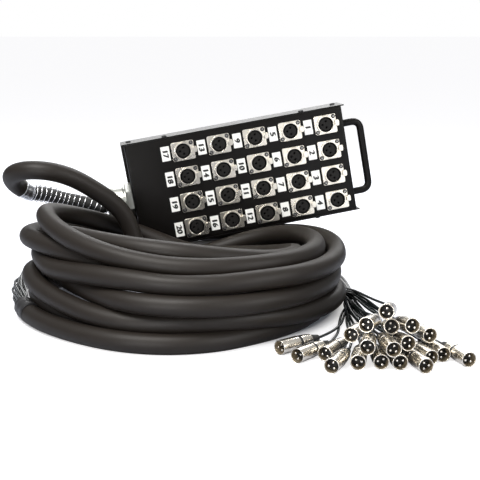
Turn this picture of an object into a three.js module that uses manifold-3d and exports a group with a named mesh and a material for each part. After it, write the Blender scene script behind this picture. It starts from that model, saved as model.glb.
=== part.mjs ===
// Stage box snake: a folded steel box with twenty panel sockets, its thick many-core cable laid in a coil,
// and the twenty thin tails with a pin plug on each. Millimetres, +Z up.
import * as THREE from 'three';
import Module from 'manifold-3d';
import { mergeVertices } from 'three/addons/utils/BufferGeometryUtils.js';

const wasm = await Module();
wasm.setup();

// Fits that every piece shares
const seat = 0.3;             // gap between two pieces that touch
const overrun = 2;            // how far a cutter runs past the face that it cuts

// Steel box
const boxLength = 312;        // cover, along the handle's direction
const boxHeight = 149;        // over the cover's two long plates
const boxDepth = 52;          // panel face to back face
const sheet = 1.6;            // steel thickness
const foldRadius = 2.4;       // outside radius of a folded edge
const overhang = 4;           // cover past each end wall of the tray
const tabWidth = 11;          // screw tab folded in from an end wall
const tabDepth = 14;

// How the box lies on the coil: its long edge down, the handle end raised
const boxCentre = [80.2, 153.1, 147.1];   // middle of the panel's face
const boxYaw = 7.5;           // degrees, handle end away
const boxRoll = 9.7;          // degrees, handle end up
const boxLean = 1.2;          // degrees, panel leaning back

// Panel sockets, in five columns of four
const columns = 5;
const rows = 4;
const columnPitch = 50;
const rowPitch = 35.5;
const gridShift = 25.9;       // grid's middle from the panel's middle, towards the handle
const gridDrop = 1.4;
const flangeLength = 31;
const flangeHeight = 26;
const flangeThickness = 2.4;
const flangeCorner = 3;
const barrelRadius = 11.9;
const barrelDepth = 15;       // behind the panel's face
const rimHeight = 2.3;        // rim past the flange
const mouthRadius = 10.3;
const insertRadius = 8.4;
const insertDrop = 0.8;       // insert's face below the rim
const mouthDepth = 10;
const barrelSides = 10;
const contactRadius = 1.3;
const contactCircle = 4.4;
const contactDepth = 4;
const contactTurns = [180, 82, 278];

// Release latch at each socket's handle side
const latchTravel = 1.5;
const latchWidth = 9;
const latchLength = 5.8;
const latchThickness = 1.5;
const latchCorner = 1.8;
const latchStemWidth = 6;
const latchStemLength = 2.6;
const latchStemDepth = 0.6;   // how far the stem reaches into its notch at rest
const rimClearance = 0.5;     // latch head to the socket's rim

// Carrying handle on the right end wall
const handleSpan = 98;
const handleReach = 27;
const handleRadius = 5;
const handleBend = 18;
const handleFootRadius = 8;
const handleFootThickness = 3;
const handleSides = 8;
const bendSteps = 5;

// Cable and its turns
const cable = 23.4;           // jacket diameter
const turnGap = 2.4;          // spacing kept between two turns
const stepsPerTurn = 24;
const stationsPerTurn = 8;
const coilRadius = 200;       // the radius that the table's shares follow
const coilSides = 6;
const settlePasses = 400;
const settleFinish = 60;      // last passes, which only space the turns
const spacingShare = 0.45;    // how much of a missing gap each turn gives way in one pass
const smoothShare = 0.12;     // how far a step moves towards its neighbours' middle in one pass
const aimShare = 0.06;        // how far a step moves back towards the table in one pass
const boxRoomShare = 0.65;    // room between the cable's middle and the box, as a share of its diameter
const floorShare = 0.4;       // lowest height of the cable's middle, as a share of its diameter

// Cable gland, liner, spring and ferrule where the lead leaves the box
const glandDrop = 8;          // gland below the wall's middle
const glandFlangeRadius = 17;
const glandFlangeLength = 9;
const glandBodyRadius = 12.5;
const glandLength = 44;
const glandSpigot = 10;       // how far the gland reaches into the box
const linerRadius = 8.7;      // cable under the spring, with its jacket cut back
const boreRadius = 9.4;
const springWire = 1.8;
const springRadius = 11;      // to the wire's middle
const springPitch = 6.1;
const springSteps = 8;
const springSides = 5;
const ferruleRadius = 12.5;
const ferruleLength = 13;
const glandSides = 14;
const ferruleSides = 16;
const glandTaper = 1;
const leadSteps = 32;
const leadSides = 10;
const linerSteps = 18;
const linerSides = 8;
const springSamples = 200;

// Breakout sleeve and the bundle of tails
const sleeveRadius = 12.6;
const sleeveLength = 32;
const bundleRadius = 12;
const sleeveSides = 12;
const bundleSteps = 26;
const bundleSides = 8;

// Tails and plugs
const tail = 4.8;
const plugRadius = 8.5;
const plugBore = 7.2;
const plugBoreDepth = 12;
const plugBarrel = 27;
const plugNeck = 7.5;
const plugNeckLength = 4;
const plugShellRadius = 8.1;
const plugShellEnd = 6.8;     // the rear shell narrows towards the boot
const plugShell = 16;
const bootRadius = 5.6;
const bootLength = 14;
const bootEnd = 3.2;
const pinRadius = 1.1;
const pinCircle = 3.6;
const pinLength = 9.5;
const plugSides = 8;
const pinSides = 5;
const pinTurns = [90, 210, 330];
const tailSides = 5;
const tailSteps = 24;         // steps while the tails are laid
const tailStretches = 9;      // stretches of each finished tail
const pairSteps = 6;          // first steps where the two tails of a pair may touch
const tailPasses = 200;
const tailGiveShare = 0.4;    // how much of a missing gap each tail gives way in one pass
const plugGiveShare = 0.2;    // the same for two plugs
const tailSmoothShare = 0.3;
const tailFinish = 30;        // last passes, which only space the tails
const plugPasses = 300;
const plugBeads = 12;

const rad = THREE.MathUtils.degToRad;

// Corner radius of a many-sided hole whose flats lie at the wanted radius
const holeSides = 14;
const flatsAt = (radius) => radius / Math.cos(rad(180) / holeSides);

const finish = {
  powder: new THREE.MeshStandardMaterial({ color: 0x141414, roughness: 0.55, metalness: 0.2 }),
  nickel: new THREE.MeshStandardMaterial({ color: 0xb9b2a4, roughness: 0.32, metalness: 0.9 }),
  chrome: new THREE.MeshStandardMaterial({ color: 0xd8dade, roughness: 0.18, metalness: 1 }),
  moulded: new THREE.MeshStandardMaterial({ color: 0x18181a, roughness: 0.5, metalness: 0 }),
  jacket: new THREE.MeshStandardMaterial({ color: 0x3b3532, roughness: 0.75, metalness: 0 }),
  tails: new THREE.MeshStandardMaterial({ color: 0x1b211f, roughness: 0.5, metalness: 0 }),
};

// Solids: a geometry becomes a solid for cuts and joins, and comes back as a geometry
function solid(geometry) {
  const bare = geometry.clone();
  bare.deleteAttribute('normal');
  bare.deleteAttribute('uv');
  const merged = mergeVertices(bare, 1e-4);
  return new wasm.Manifold(new wasm.Mesh({
    numProp: 3,
    vertProperties: new Float32Array(merged.attributes.position.array),
    triVerts: new Uint32Array(merged.index.array),
  }));
}

function geometryOf(manifold) {
  const mesh = manifold.getMesh();
  const geometry = new THREE.BufferGeometry();
  geometry.setAttribute('position', new THREE.BufferAttribute(new Float32Array(mesh.vertProperties), 3));
  geometry.setIndex(new THREE.BufferAttribute(new Uint32Array(mesh.triVerts), 1));
  return geometry;
}

function named(name, geometry, material) {
  const mesh = new THREE.Mesh(geometry, material);
  mesh.name = name;
  return mesh;
}

// A block given by its lowest and highest corner
function block(low, high) {
  const size = high.map((value, axis) => value - low[axis]);
  const middle = high.map((value, axis) => (value + low[axis]) / 2);
  return new THREE.BoxGeometry(...size).translate(...middle);
}

// A turned profile of [radius, height] pairs, with its axis along +Z
function turned(profile, segments) {
  const points = profile.map(([radius, height]) => new THREE.Vector2(radius, height));
  return new THREE.LatheGeometry(points, segments).rotateX(rad(90));
}

// A flat outline with its corners cut, in the XZ plane, from y = near to y = far
function plate(low, high, corner, near, far) {
  const [x0, z0] = low;
  const [x1, z1] = high;
  const shape = new THREE.Shape();
  shape.moveTo(x0 + corner, z0);
  shape.lineTo(x1 - corner, z0);
  shape.lineTo(x1, z0 + corner);
  shape.lineTo(x1, z1 - corner);
  shape.lineTo(x1 - corner, z1);
  shape.lineTo(x0 + corner, z1);
  shape.lineTo(x0, z1 - corner);
  shape.lineTo(x0, z0 + corner);
  shape.closePath();
  const flat = new THREE.ExtrudeGeometry(shape, { depth: far - near, bevelEnabled: false });
  return flat.rotateX(rad(90)).translate(0, far, 0);
}

// A channel of sheet: a web with a wall folded at each end, drawn as one outline in XY
function channel(width, depth, length) {
  const half = width / 2;
  const inner = foldRadius - sheet;
  const shape = new THREE.Shape();
  shape.moveTo(-half, depth);
  shape.lineTo(-half, foldRadius);
  shape.absarc(-half + foldRadius, foldRadius, foldRadius, rad(180), rad(270), false);
  shape.lineTo(half - foldRadius, 0);
  shape.absarc(half - foldRadius, foldRadius, foldRadius, rad(270), rad(360), false);
  shape.lineTo(half, depth);
  shape.lineTo(half - sheet, depth);
  shape.lineTo(half - sheet, foldRadius);
  shape.absarc(half - foldRadius, foldRadius, inner, rad(360), rad(270), true);
  shape.lineTo(-half + foldRadius, sheet);
  shape.absarc(-half + foldRadius, foldRadius, inner, rad(270), rad(180), true);
  shape.lineTo(-half + sheet, depth);
  shape.closePath();
  const folded = new THREE.ExtrudeGeometry(shape, { depth: length, bevelEnabled: false, curveSegments: 3 });
  return folded.translate(0, 0, -length / 2);
}

// Directions along a chain of points, and a frame carried along them without twist
function carriedFrames(points) {
  const last = points.length - 1;
  const tangents = points.map((point, index) => {
    const next = points[Math.min(index + 1, last)];
    const before = points[Math.max(index - 1, 0)];
    return next.clone().sub(before).normalize();
  });
  const up = new THREE.Vector3(0, 0, 1);
  const across = [new THREE.Vector3().crossVectors(tangents[0], up).normalize()];
  for (let index = 1; index <= last; index += 1) {
    const turn = new THREE.Quaternion().setFromUnitVectors(tangents[index - 1], tangents[index]);
    across.push(across[index - 1].clone().applyQuaternion(turn));
  }
  return points.map((point, index) => ({
    point,
    across: across[index],
    over: new THREE.Vector3().crossVectors(across[index], tangents[index]).normalize(),
    along: tangents[index],
  }));
}

// A closed tube swept over a chain of points: a ring at each point and a fan at each end
function sweep(points, radius, sides, phase = 0) {
  const frames = carriedFrames(points);
  const position = [];
  frames.forEach(({ point, across, over }) => {
    for (let side = 0; side < sides; side += 1) {
      const angle = rad(360) * (side + phase) / sides;
      const place = point.clone();
      place.addScaledVector(across, radius * Math.cos(angle));
      place.addScaledVector(over, radius * Math.sin(angle));
      position.push(place.x, place.y, place.z);
    }
  });
  const index = [];
  for (let ring = 0; ring + 1 < frames.length; ring += 1) {
    for (let side = 0; side < sides; side += 1) {
      const a = ring * sides + side;
      const b = ring * sides + (side + 1) % sides;
      index.push(a, a + sides, b, b, a + sides, b + sides);
    }
  }
  const top = (frames.length - 1) * sides;
  for (let side = 1; side + 1 < sides; side += 1) {
    index.push(0, side, side + 1);
    index.push(top, top + side + 1, top + side);
  }
  const geometry = new THREE.BufferGeometry();
  geometry.setAttribute('position', new THREE.Float32BufferAttribute(position, 3));
  geometry.setIndex(index);
  return geometry;
}

// A chain whose first and last steps run straight along the given headings
function squared(points, startHeading, endHeading) {
  const chain = points.map((point) => point.clone());
  const last = chain.length - 1;
  chain[1].copy(chain[0]).addScaledVector(startHeading, chain[0].distanceTo(points[1]));
  chain[last - 1].copy(chain[last]).addScaledVector(endHeading, -chain[last].distanceTo(points[last - 1]));
  return chain;
}

// What lies on the floor is pressed flat there
function laidFlat(geometry) {
  const place = geometry.attributes.position;
  for (let index = 0; index < place.count; index += 1) {
    place.setZ(index, Math.max(place.getZ(index), 0));
  }
  return geometry;
}

const whole = new THREE.Group();
const box = new THREE.Group();
box.position.set(...boxCentre);
box.rotation.set(rad(-boxLean), rad(-boxRoll), rad(boxYaw), 'ZYX');
whole.add(box);

// Socket grid: number 1 is at the top beside the handle, and the numbers run down each column
function socketPlace(number) {
  const column = columns - 1 - Math.floor((number - 1) / rows);
  const row = (number - 1) % rows;
  const x = gridShift + (column - (columns - 1) / 2) * columnPitch;
  const z = ((rows - 1) / 2 - row) * rowPitch - gridDrop;
  return [x, z];
}
const socketNumbers = Array.from({ length: columns * rows }, (unused, index) => index + 1);

// Front tray: panel and two end walls folded from one sheet, screw tabs folded in at the top and bottom
const trayLength = boxLength - 2 * overhang;
const trayHeight = boxHeight - 2 * (sheet + seat);
const trayDepth = boxDepth - sheet - seat;
const glandHole = flatsAt(glandBodyRadius + seat);

function makeTray() {
  let tray = solid(channel(trayLength, trayDepth, trayHeight));
  for (const end of [-1, 1]) {
    for (const edge of [-1, 1]) {
      const wall = end * (trayLength / 2 - sheet / 2);
      const inner = end * (trayLength / 2 - sheet - tabWidth);
      const top = edge * trayHeight / 2;
      const under = edge * (trayHeight / 2 - sheet);
      const low = [Math.min(wall, inner), trayDepth / 2 - tabDepth, Math.min(top, under)];
      const high = [Math.max(wall, inner), trayDepth / 2 + tabDepth, Math.max(top, under)];
      tray = tray.add(solid(block(low, high)));
    }
  }
  const holeRadius = flatsAt(barrelRadius + seat);
  for (const number of socketNumbers) {
    const [x, z] = socketPlace(number);
    const cutter = new THREE.CylinderGeometry(holeRadius, holeRadius, sheet + 2 * overrun, holeSides);
    tray = tray.subtract(solid(cutter.translate(x, sheet / 2, z)));
  }
  const bore = new THREE.CylinderGeometry(glandHole, glandHole, sheet + 2 * overrun, holeSides);
  bore.rotateZ(rad(90)).translate(-trayLength / 2 + sheet / 2, boxDepth / 2, -glandDrop);
  tray = tray.subtract(solid(bore));
  return named('front_tray', geometryOf(tray), finish.powder);
}
box.add(makeTray());

// Back cover: top plate, back and bottom plate folded from one sheet
function makeCover() {
  const folded = channel(boxHeight, boxDepth, boxLength);
  folded.rotateX(rad(180)).translate(0, boxDepth, 0).rotateY(rad(90));
  return named('back_cover', folded, finish.powder);
}
box.add(makeCover());

// Socket: flange, rimmed barrel and insert with three contact holes
const flangeBack = seat;
const flangeFront = flangeBack + flangeThickness;
const rimFront = flangeFront + rimHeight;
const insertFront = rimFront - insertDrop;
const notchLength = latchStemLength + seat + rimClearance;
const latchInner = barrelRadius + rimClearance;

function makeSocket(number) {
  const [x, z] = socketPlace(number);
  const barrel = turned([
    [0, -barrelDepth],
    [barrelRadius, -barrelDepth],
    [barrelRadius, rimFront],
    [mouthRadius, rimFront],
    [mouthRadius, rimFront - mouthDepth],
    [insertRadius, rimFront - mouthDepth],
    [insertRadius, insertFront],
    [0, insertFront],
  ], barrelSides).rotateX(rad(90));
  const half = flangeLength / 2;
  const flange = plate([-half, -flangeHeight / 2], [half, flangeHeight / 2], flangeCorner,
    -flangeFront, -flangeBack);
  const notchHalf = latchStemWidth / 2 + seat;
  const notch = block([latchInner, -flangeFront - overrun, -notchHalf],
    [half + overrun, overrun, notchHalf]);
  const opened = mouthRadius + seat;
  const opening = new THREE.CylinderGeometry(opened, opened, 2 * flangeFront, barrelSides);
  opening.translate(0, -flangeFront, 0);
  let socket = solid(flange).subtract(solid(notch)).subtract(solid(opening)).add(solid(barrel));
  for (const turn of contactTurns) {
    const hole = new THREE.CylinderGeometry(contactRadius, contactRadius, contactDepth + overrun, 4);
    const across = contactCircle * Math.cos(rad(turn));
    const up = contactCircle * Math.sin(rad(turn));
    hole.translate(across, -insertFront + (contactDepth - overrun) / 2, up);
    socket = socket.subtract(solid(hole));
  }
  const mesh = named(`socket_${String(number).padStart(2, '0')}`, geometryOf(socket), finish.nickel);
  mesh.position.set(x, 0, z);
  return mesh;
}

// Release latch: a thumb tab over the flange's edge, with a stem in the flange's notch
function makeLatch(number) {
  const [x, z] = socketPlace(number);
  const under = flangeFront + latchTravel + seat;
  const inner = latchInner + seat;
  const head = plate([inner, -latchWidth / 2], [inner + latchLength, latchWidth / 2], latchCorner,
    -under - latchThickness, -under);
  const stemHalf = latchStemWidth / 2;
  const stem = block([inner, -under - latchThickness / 2, -stemHalf],
    [inner + latchStemLength, -flangeFront + latchStemDepth, stemHalf]);
  const latch = solid(head).add(solid(stem));
  const mesh = named(`latch_${String(number).padStart(2, '0')}`, geometryOf(latch), finish.nickel);
  mesh.position.set(x, 0, z);
  return mesh;
}
for (const number of socketNumbers) box.add(makeSocket(number), makeLatch(number));

// Handle: one round bar bent square, with a foot welded at each end
function makeHandle() {
  const foot = trayLength / 2 + seat;
  const out = foot + handleReach;
  const half = handleSpan / 2;
  const middle = boxDepth / 2;
  const bar = new THREE.CurvePath();
  const at = (x, z) => new THREE.Vector3(x, middle, z);
  bar.add(new THREE.LineCurve3(at(foot, -half), at(out - handleBend, -half)));
  const low = [at(out - handleBend, -half), at(out, -half), at(out, handleBend - half)];
  bar.add(new THREE.QuadraticBezierCurve3(...low));
  bar.add(new THREE.LineCurve3(at(out, handleBend - half), at(out, half - handleBend)));
  const high = [at(out, half - handleBend), at(out, half), at(out - handleBend, half)];
  bar.add(new THREE.QuadraticBezierCurve3(...high));
  bar.add(new THREE.LineCurve3(at(out - handleBend, half), at(foot, half)));
  const places = [];
  for (const part of bar.curves) {
    const steps = part.isLineCurve3 ? 1 : bendSteps;
    for (let step = places.length ? 1 : 0; step <= steps; step += 1) {
      places.push(part.getPoint(step / steps));
    }
  }
  let handle = solid(sweep(places, handleRadius, handleSides));
  for (const side of [-1, 1]) {
    const disc = new THREE.CylinderGeometry(handleFootRadius, handleFootRadius, handleFootThickness,
      2 * handleSides);
    disc.rotateZ(rad(90)).translate(foot + handleFootThickness / 2, middle, side * half);
    handle = handle.add(solid(disc));
  }
  return named('handle', geometryOf(handle), finish.powder);
}
box.add(makeHandle());

// Coil. Each row is one turn of the cable, from the left round the front, in eighths of a turn, as shares of
// the coil's radius: how far out and how high the cable's middle is meant to lie.
const turnShares = [
  [[0.985, 0.05], [0.92, 0.05], [1.03, 0.05], [0.88, 0.05],
    [0.89, 0.05], [0.94, 0.05], [0.98, 0.05], [1.015, 0.05]],
  [[0.905, 0.14], [0.8, 0.06], [0.9, 0.05], [0.755, 0.05],
    [0.765, 0.05], [0.81, 0.05], [0.855, 0.05], [0.91, 0.13]],
  [[0.93, 0.27], [0.885, 0.2], [0.95, 0.155], [0.97, 0.15],
    [1, 0.125], [0.93, 0.16], [0.775, 0.17], [0.75, 0.2]],
  [[0.77, 0.28], [0.76, 0.29], [1.02, 0.27], [1, 0.26],
    [0.95, 0.25], [1.08, 0.255], [1.045, 0.165], [1.02, 0.26]],
  [[0.87, 0.385], [0.81, 0.37], [0.95, 0.37], [1.005, 0.38],
    [0.98, 0.37], [1.115, 0.35], [1.15, 0.27], [1.07, 0.39]],
  [[0.95, 0.47], [0.73, 0.43], [0.82, 0.325], [0.86, 0.3],
    [0.84, 0.29], [0.96, 0.29], [0.92, 0.165], [0.89, 0.34]],
  [[0.83, 0.52], [0.67, 0.54], [0.74, 0.525], [0.76, 0.43],
    [0.73, 0.37], [0.69, 0.25], [0.54, 0.25], [0.76, 0.47]],
  [[0.825, 0.63], [0.78, 0.545], [0.84, 0.45], [0.91, 0.445],
    [0.85, 0.43], [0.88, 0.38], [0.645, 0.17], [0.715, 0.325]],
  [[0.7, 0.49], [0.54, 0.44], [0.58, 0.39], [0.63, 0.32],
    [0.61, 0.25], [0.54, 0.17], [0.46, 0.12]],
];

// Smooth value between four neighbours of a chain
function eased(before, here, next, after, share) {
  const rise = next - before;
  const bow = 2 * before - 5 * here + 4 * next - after;
  const twist = 3 * here - before - 3 * next + after;
  return (2 * here + (rise + (bow + twist * share) * share) * share) / 2;
}

function between(chain, place) {
  const last = chain.length - 1;
  const here = Math.min(Math.floor(place), last - 1);
  const pick = (step) => chain[Math.min(Math.max(here + step, 0), last)];
  const value = (step, axis) => pick(step)[axis];
  return [0, 1].map((axis) => (
    eased(value(-1, axis), value(0, axis), value(1, axis), value(2, axis), place - here)
  ));
}

// The room that the box leaves: a turn passes under it, before it or behind it
function clearOfBox(radius, height, angle) {
  const x = radius * Math.cos(angle);
  const y = radius * Math.sin(angle);
  const room = boxRoomShare * cable;
  const along = x - boxCentre[0];
  const leftEnd = -boxLength / 2 - room;
  const front = boxCentre[1] + along * Math.tan(rad(boxYaw)) - room;
  const back = front + boxDepth / Math.cos(rad(boxYaw)) + 2 * room;
  const lowest = boxCentre[2] - boxHeight / 2 / Math.cos(rad(boxRoll));
  const under = lowest + along * Math.tan(rad(boxRoll)) - room;
  if (along < leftEnd || y < front || y > back || height < under) return [radius, height];
  const rise = Math.max(Math.sin(angle), 0.1);
  const down = height - under;
  const inward = (y - front) / rise;
  const outward = (back - y) / rise;
  const least = Math.min(down, inward, outward);
  if (least === down) return [radius, under];
  return least === inward ? [radius - inward, height] : [radius + outward, height];
}

// The turns start from the table, are spaced a cable apart and are eased along their length
function settledTurns() {
  const stations = turnShares.flat().map(([out, up]) => [out * coilRadius, up * coilRadius]);
  const stepsPerStation = stepsPerTurn / stationsPerTurn;
  const count = (stations.length - 1) * stepsPerStation + 1;
  const floor = floorShare * cable;
  const aim = Array.from({ length: count }, (unused, index) => between(stations, index / stepsPerStation));
  let turns = aim.map((pair) => [...pair]);
  for (let pass = 0; pass < settlePasses; pass += 1) {
    const push = turns.map(() => [0, 0]);
    for (let i = 0; i < count; i += 1) {
      for (let j = i + stepsPerTurn; j < count; j += stepsPerTurn) {
        const out = turns[i][0] - turns[j][0];
        const up = turns[i][1] - turns[j][1];
        const apart = Math.hypot(out, up);
        const short = Math.max(0, cable + turnGap - apart) * spacingShare;
        push[i][0] += out / apart * short;
        push[i][1] += up / apart * short;
        push[j][0] -= out / apart * short;
        push[j][1] -= up / apart * short;
      }
    }
    turns = turns.map((pair, index) => pair.map((value, axis) => value + push[index][axis]));
    if (pass < settlePasses - settleFinish) {
      const last = count - 1;
      turns = turns.map((pair, index) => pair.map((value, axis) => {
        const ends = turns[Math.max(index - 1, 0)][axis] + turns[Math.min(index + 1, last)][axis];
        const smooth = index === 0 || index === last ? value : ends / 4 + value / 2;
        return value + smoothShare * (smooth - value) + aimShare * (aim[index][axis] - value);
      }));
    }
    turns = turns.map(([out, up], index) => {
      const angle = rad(180) + rad(360) * index / stepsPerTurn;
      return clearOfBox(out, Math.max(up, floor), angle);
    });
  }
  return turns.map(([out, up], index) => {
    const angle = rad(180) + rad(360) * index / stepsPerTurn;
    return new THREE.Vector3(out * Math.cos(angle), out * Math.sin(angle), up);
  });
}

// The least gap from the cable to itself, measured on points between the steps
function leastGap(chain) {
  const finer = 8;
  const curve = new THREE.CatmullRomCurve3(chain, false, 'catmullrom', 0.5);
  const points = [];
  const stretches = chain.length - 1;
  for (let index = 0; index <= stretches * finer; index += 1) {
    points.push(curve.getPoint(index / stretches / finer));
  }
  let least = Infinity;
  for (let i = 0; i < points.length; i += 1) {
    for (let j = i + stepsPerTurn * finer / 4; j < points.length; j += 1) {
      least = Math.min(least, points[i].distanceTo(points[j]));
    }
  }
  return least - cable;
}

const turns = settledTurns();
console.log(`cable turns: least gap ${leastGap(turns).toFixed(2)} mm`);
whole.add(named('coil', laidFlat(sweep(turns, cable / 2, coilSides)), finish.jacket));

// Gland on the left end wall, in the box's own frame: nut, body and a spigot through the wall
function makeGland() {
  const gland = turned([
    [boreRadius, -glandSpigot],
    [glandBodyRadius, -glandSpigot],
    [glandBodyRadius, seat],
    [glandFlangeRadius, seat],
    [glandFlangeRadius, glandFlangeLength],
    [glandBodyRadius, glandFlangeLength],
    [glandBodyRadius - glandTaper, glandLength],
    [boreRadius, glandLength],
    [boreRadius, -glandSpigot],
  ], glandSides);
  gland.rotateY(rad(-90)).translate(-trayLength / 2, boxDepth / 2, -glandDrop);
  return named('gland_body', gland, finish.moulded);
}
box.add(makeGland());

// Lead: from the coil's inner end up past the box's left end, round at the far left and into the ferrule
box.updateMatrixWorld(true);
const onBox = (x) => new THREE.Vector3(x, boxDepth / 2, -glandDrop).applyMatrix4(box.matrixWorld);
const glandMouth = onBox(-trayLength / 2 - glandLength);
const linerStart = onBox(-trayLength / 2 + 2 * glandSpigot);
const ferruleEnd = new THREE.Vector3(-214.5, 107, 138.5);
const ferruleHeading = new THREE.Vector3(-8, -9, 6).normalize();
const ferruleStart = ferruleEnd.clone().addScaledVector(ferruleHeading, -ferruleLength);

const strainRoute = new THREE.CatmullRomCurve3([
  linerStart,
  onBox(-trayLength / 2),
  onBox(-trayLength / 2 - glandLength / 2),
  glandMouth,
  onBox(-trayLength / 2 - glandLength - bundleRadius),
  new THREE.Vector3(-143, 147, 109.5),
  new THREE.Vector3(-163, 139.5, 118),
  new THREE.Vector3(-184, 130, 126.5),
  ferruleStart.clone(),
  ferruleEnd.clone(),
  ferruleEnd.clone().addScaledVector(ferruleHeading, cable / 2),
], false, 'centripetal');

const coilEnd = turns[turns.length - 1];
const coilHeading = coilEnd.clone().sub(turns[turns.length - 2]).normalize();
const leadEnd = ferruleEnd.clone().addScaledVector(ferruleHeading, seat);
const leadRoute = [
  coilEnd.clone().addScaledVector(coilHeading, seat),
  coilEnd.clone().addScaledVector(coilHeading, cable),
  new THREE.Vector3(-40, 90, 37),
  new THREE.Vector3(-53, 89, 51),
  new THREE.Vector3(-62, 89, 67),
  new THREE.Vector3(-72, 87, 88),
  new THREE.Vector3(-83, 82, 108),
  new THREE.Vector3(-98, 73, 128),
  new THREE.Vector3(-116, 61, 147),
  new THREE.Vector3(-136, 50, 160.5),
  new THREE.Vector3(-158, 42, 169),
  new THREE.Vector3(-180, 40, 172.5),
  new THREE.Vector3(-201, 46, 171.5),
  new THREE.Vector3(-217, 60, 165.5),
  new THREE.Vector3(-224, 78, 156.5),
  new THREE.Vector3(-222, 94, 147.5),
  leadEnd,
];
const leadCurve = new THREE.CatmullRomCurve3(leadRoute, false, 'centripetal');
const leadChain = squared(leadCurve.getSpacedPoints(leadSteps), coilHeading, ferruleHeading.clone().negate());
const leadTube = sweep(leadChain, cable / 2, leadSides);
const linerTube = sweep(strainRoute.getSpacedPoints(linerSteps), linerRadius, linerSides);
whole.add(named('lead', geometryOf(solid(leadTube).add(solid(linerTube))), finish.jacket));

// Spring: an open coil of wire round the liner, from the gland's mouth to the ferrule
function makeSpring() {
  const samples = strainRoute.getSpacedPoints(springSamples);
  const length = strainRoute.getLength();
  const nearest = (target) => {
    const gaps = samples.map((point) => point.distanceTo(target));
    return gaps.indexOf(Math.min(...gaps)) / springSamples * length;
  };
  const clear = springWire / 2 + 2 * seat;
  const from = nearest(glandMouth) + clear;
  const to = nearest(ferruleStart) - clear;
  const coils = Math.round((to - from) / springPitch);
  const frames = carriedFrames(samples);
  const wire = [];
  for (let step = 0; step <= coils * springSteps; step += 1) {
    const share = (from + (to - from) * step / coils / springSteps) / length;
    const frame = frames[Math.round(share * springSamples)];
    const angle = rad(360) * step / springSteps;
    const place = strainRoute.getPointAt(share);
    place.addScaledVector(frame.across, springRadius * Math.cos(angle));
    place.addScaledVector(frame.over, springRadius * Math.sin(angle));
    wire.push(place);
  }
  return named('spring', sweep(wire, springWire / 2, springSides), finish.chrome);
}
whole.add(makeSpring());

// Ferrule: a bright collar between the spring and the full cable
function makeFerrule() {
  const collar = turned([
    [boreRadius, 0],
    [ferruleRadius, 0],
    [ferruleRadius, ferruleLength],
    [boreRadius, ferruleLength],
    [boreRadius, 0],
  ], ferruleSides);
  const mesh = named('ferrule', collar, finish.chrome);
  mesh.quaternion.setFromUnitVectors(new THREE.Vector3(0, 0, 1), ferruleHeading);
  mesh.position.copy(ferruleStart);
  return mesh;
}
whole.add(makeFerrule());

// Breakout sleeve: shrunk over the cable's outer end, where the tails begin
const coilStart = turns[0];
const startHeading = turns[1].clone().sub(coilStart).normalize();
const sleeveFace = coilStart.clone().addScaledVector(startHeading, -seat);
const sleeveEnd = coilStart.clone().addScaledVector(startHeading, -sleeveLength);
const sleeve = sweep([sleeveEnd, sleeveFace], sleeveRadius, sleeveSides);
whole.add(named('breakout_sleeve', laidFlat(sleeve), finish.moulded));

// Bundle of tails: round the back of the coil to the right-hand side, where it fans out
const fanFace = new THREE.Vector3(226, -16, 15);
const fanHeading = new THREE.Vector3(0.08, -1, 0).normalize();
const bundleStart = sleeveEnd.clone().addScaledVector(startHeading, -seat);
const bundleCurve = new THREE.CatmullRomCurve3([
  bundleStart,
  bundleStart.clone().addScaledVector(startHeading, -2 * bundleRadius),
  new THREE.Vector3(-219, 100, 12),
  new THREE.Vector3(-206, 165, 12),
  new THREE.Vector3(-168, 225, 12),
  new THREE.Vector3(-90, 264, 12),
  new THREE.Vector3(10, 277, 12),
  new THREE.Vector3(110, 262, 12),
  new THREE.Vector3(187, 212, 12),
  new THREE.Vector3(226, 135, 12),
  new THREE.Vector3(231, 55, 12),
  fanFace.clone().addScaledVector(fanHeading, -2 * bundleRadius),
  fanFace.clone(),
], false, 'centripetal');
const bundleHeading = startHeading.clone().negate();
const bundleChain = squared(bundleCurve.getSpacedPoints(bundleSteps), bundleHeading, fanHeading);
const bundle = sweep(bundleChain, bundleRadius, bundleSides);
whole.add(named('tail_bundle', laidFlat(bundle), finish.tails));

// Plugs: where each ring's middle lies on the floor or on the others, and the heading of its body in degrees
const plugPlaces = [
  [120, -204, 8.5, 42],
  [138, -235, 8.5, 53],
  [168, -228, 8.5, 62],
  [172, -272, 8.5, 68],
  [201, -260, 8.5, 82],
  [198, -212, 25, 69],
  [212, -227, 40.5, 79],
  [233, -234, 57, 88],
  [239, -230, 40, 93],
  [211, -254, 23.5, 81],
  [238, -264, 24, 97],
  [226, -258, 8.5, 91],
  [245, -260, 8.5, 95],
  [262, -228, 40, 103],
  [256, -243, 24.5, 103],
  [284, -213, 25, 105],
  [271, -272, 8.5, 105],
  [281, -242, 8.5, 107],
  [296, -231, 8.5, 106],
  [320, -249, 8.5, 107],
];
const plugLength = plugBarrel + plugNeckLength + plugShell + bootLength;

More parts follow.
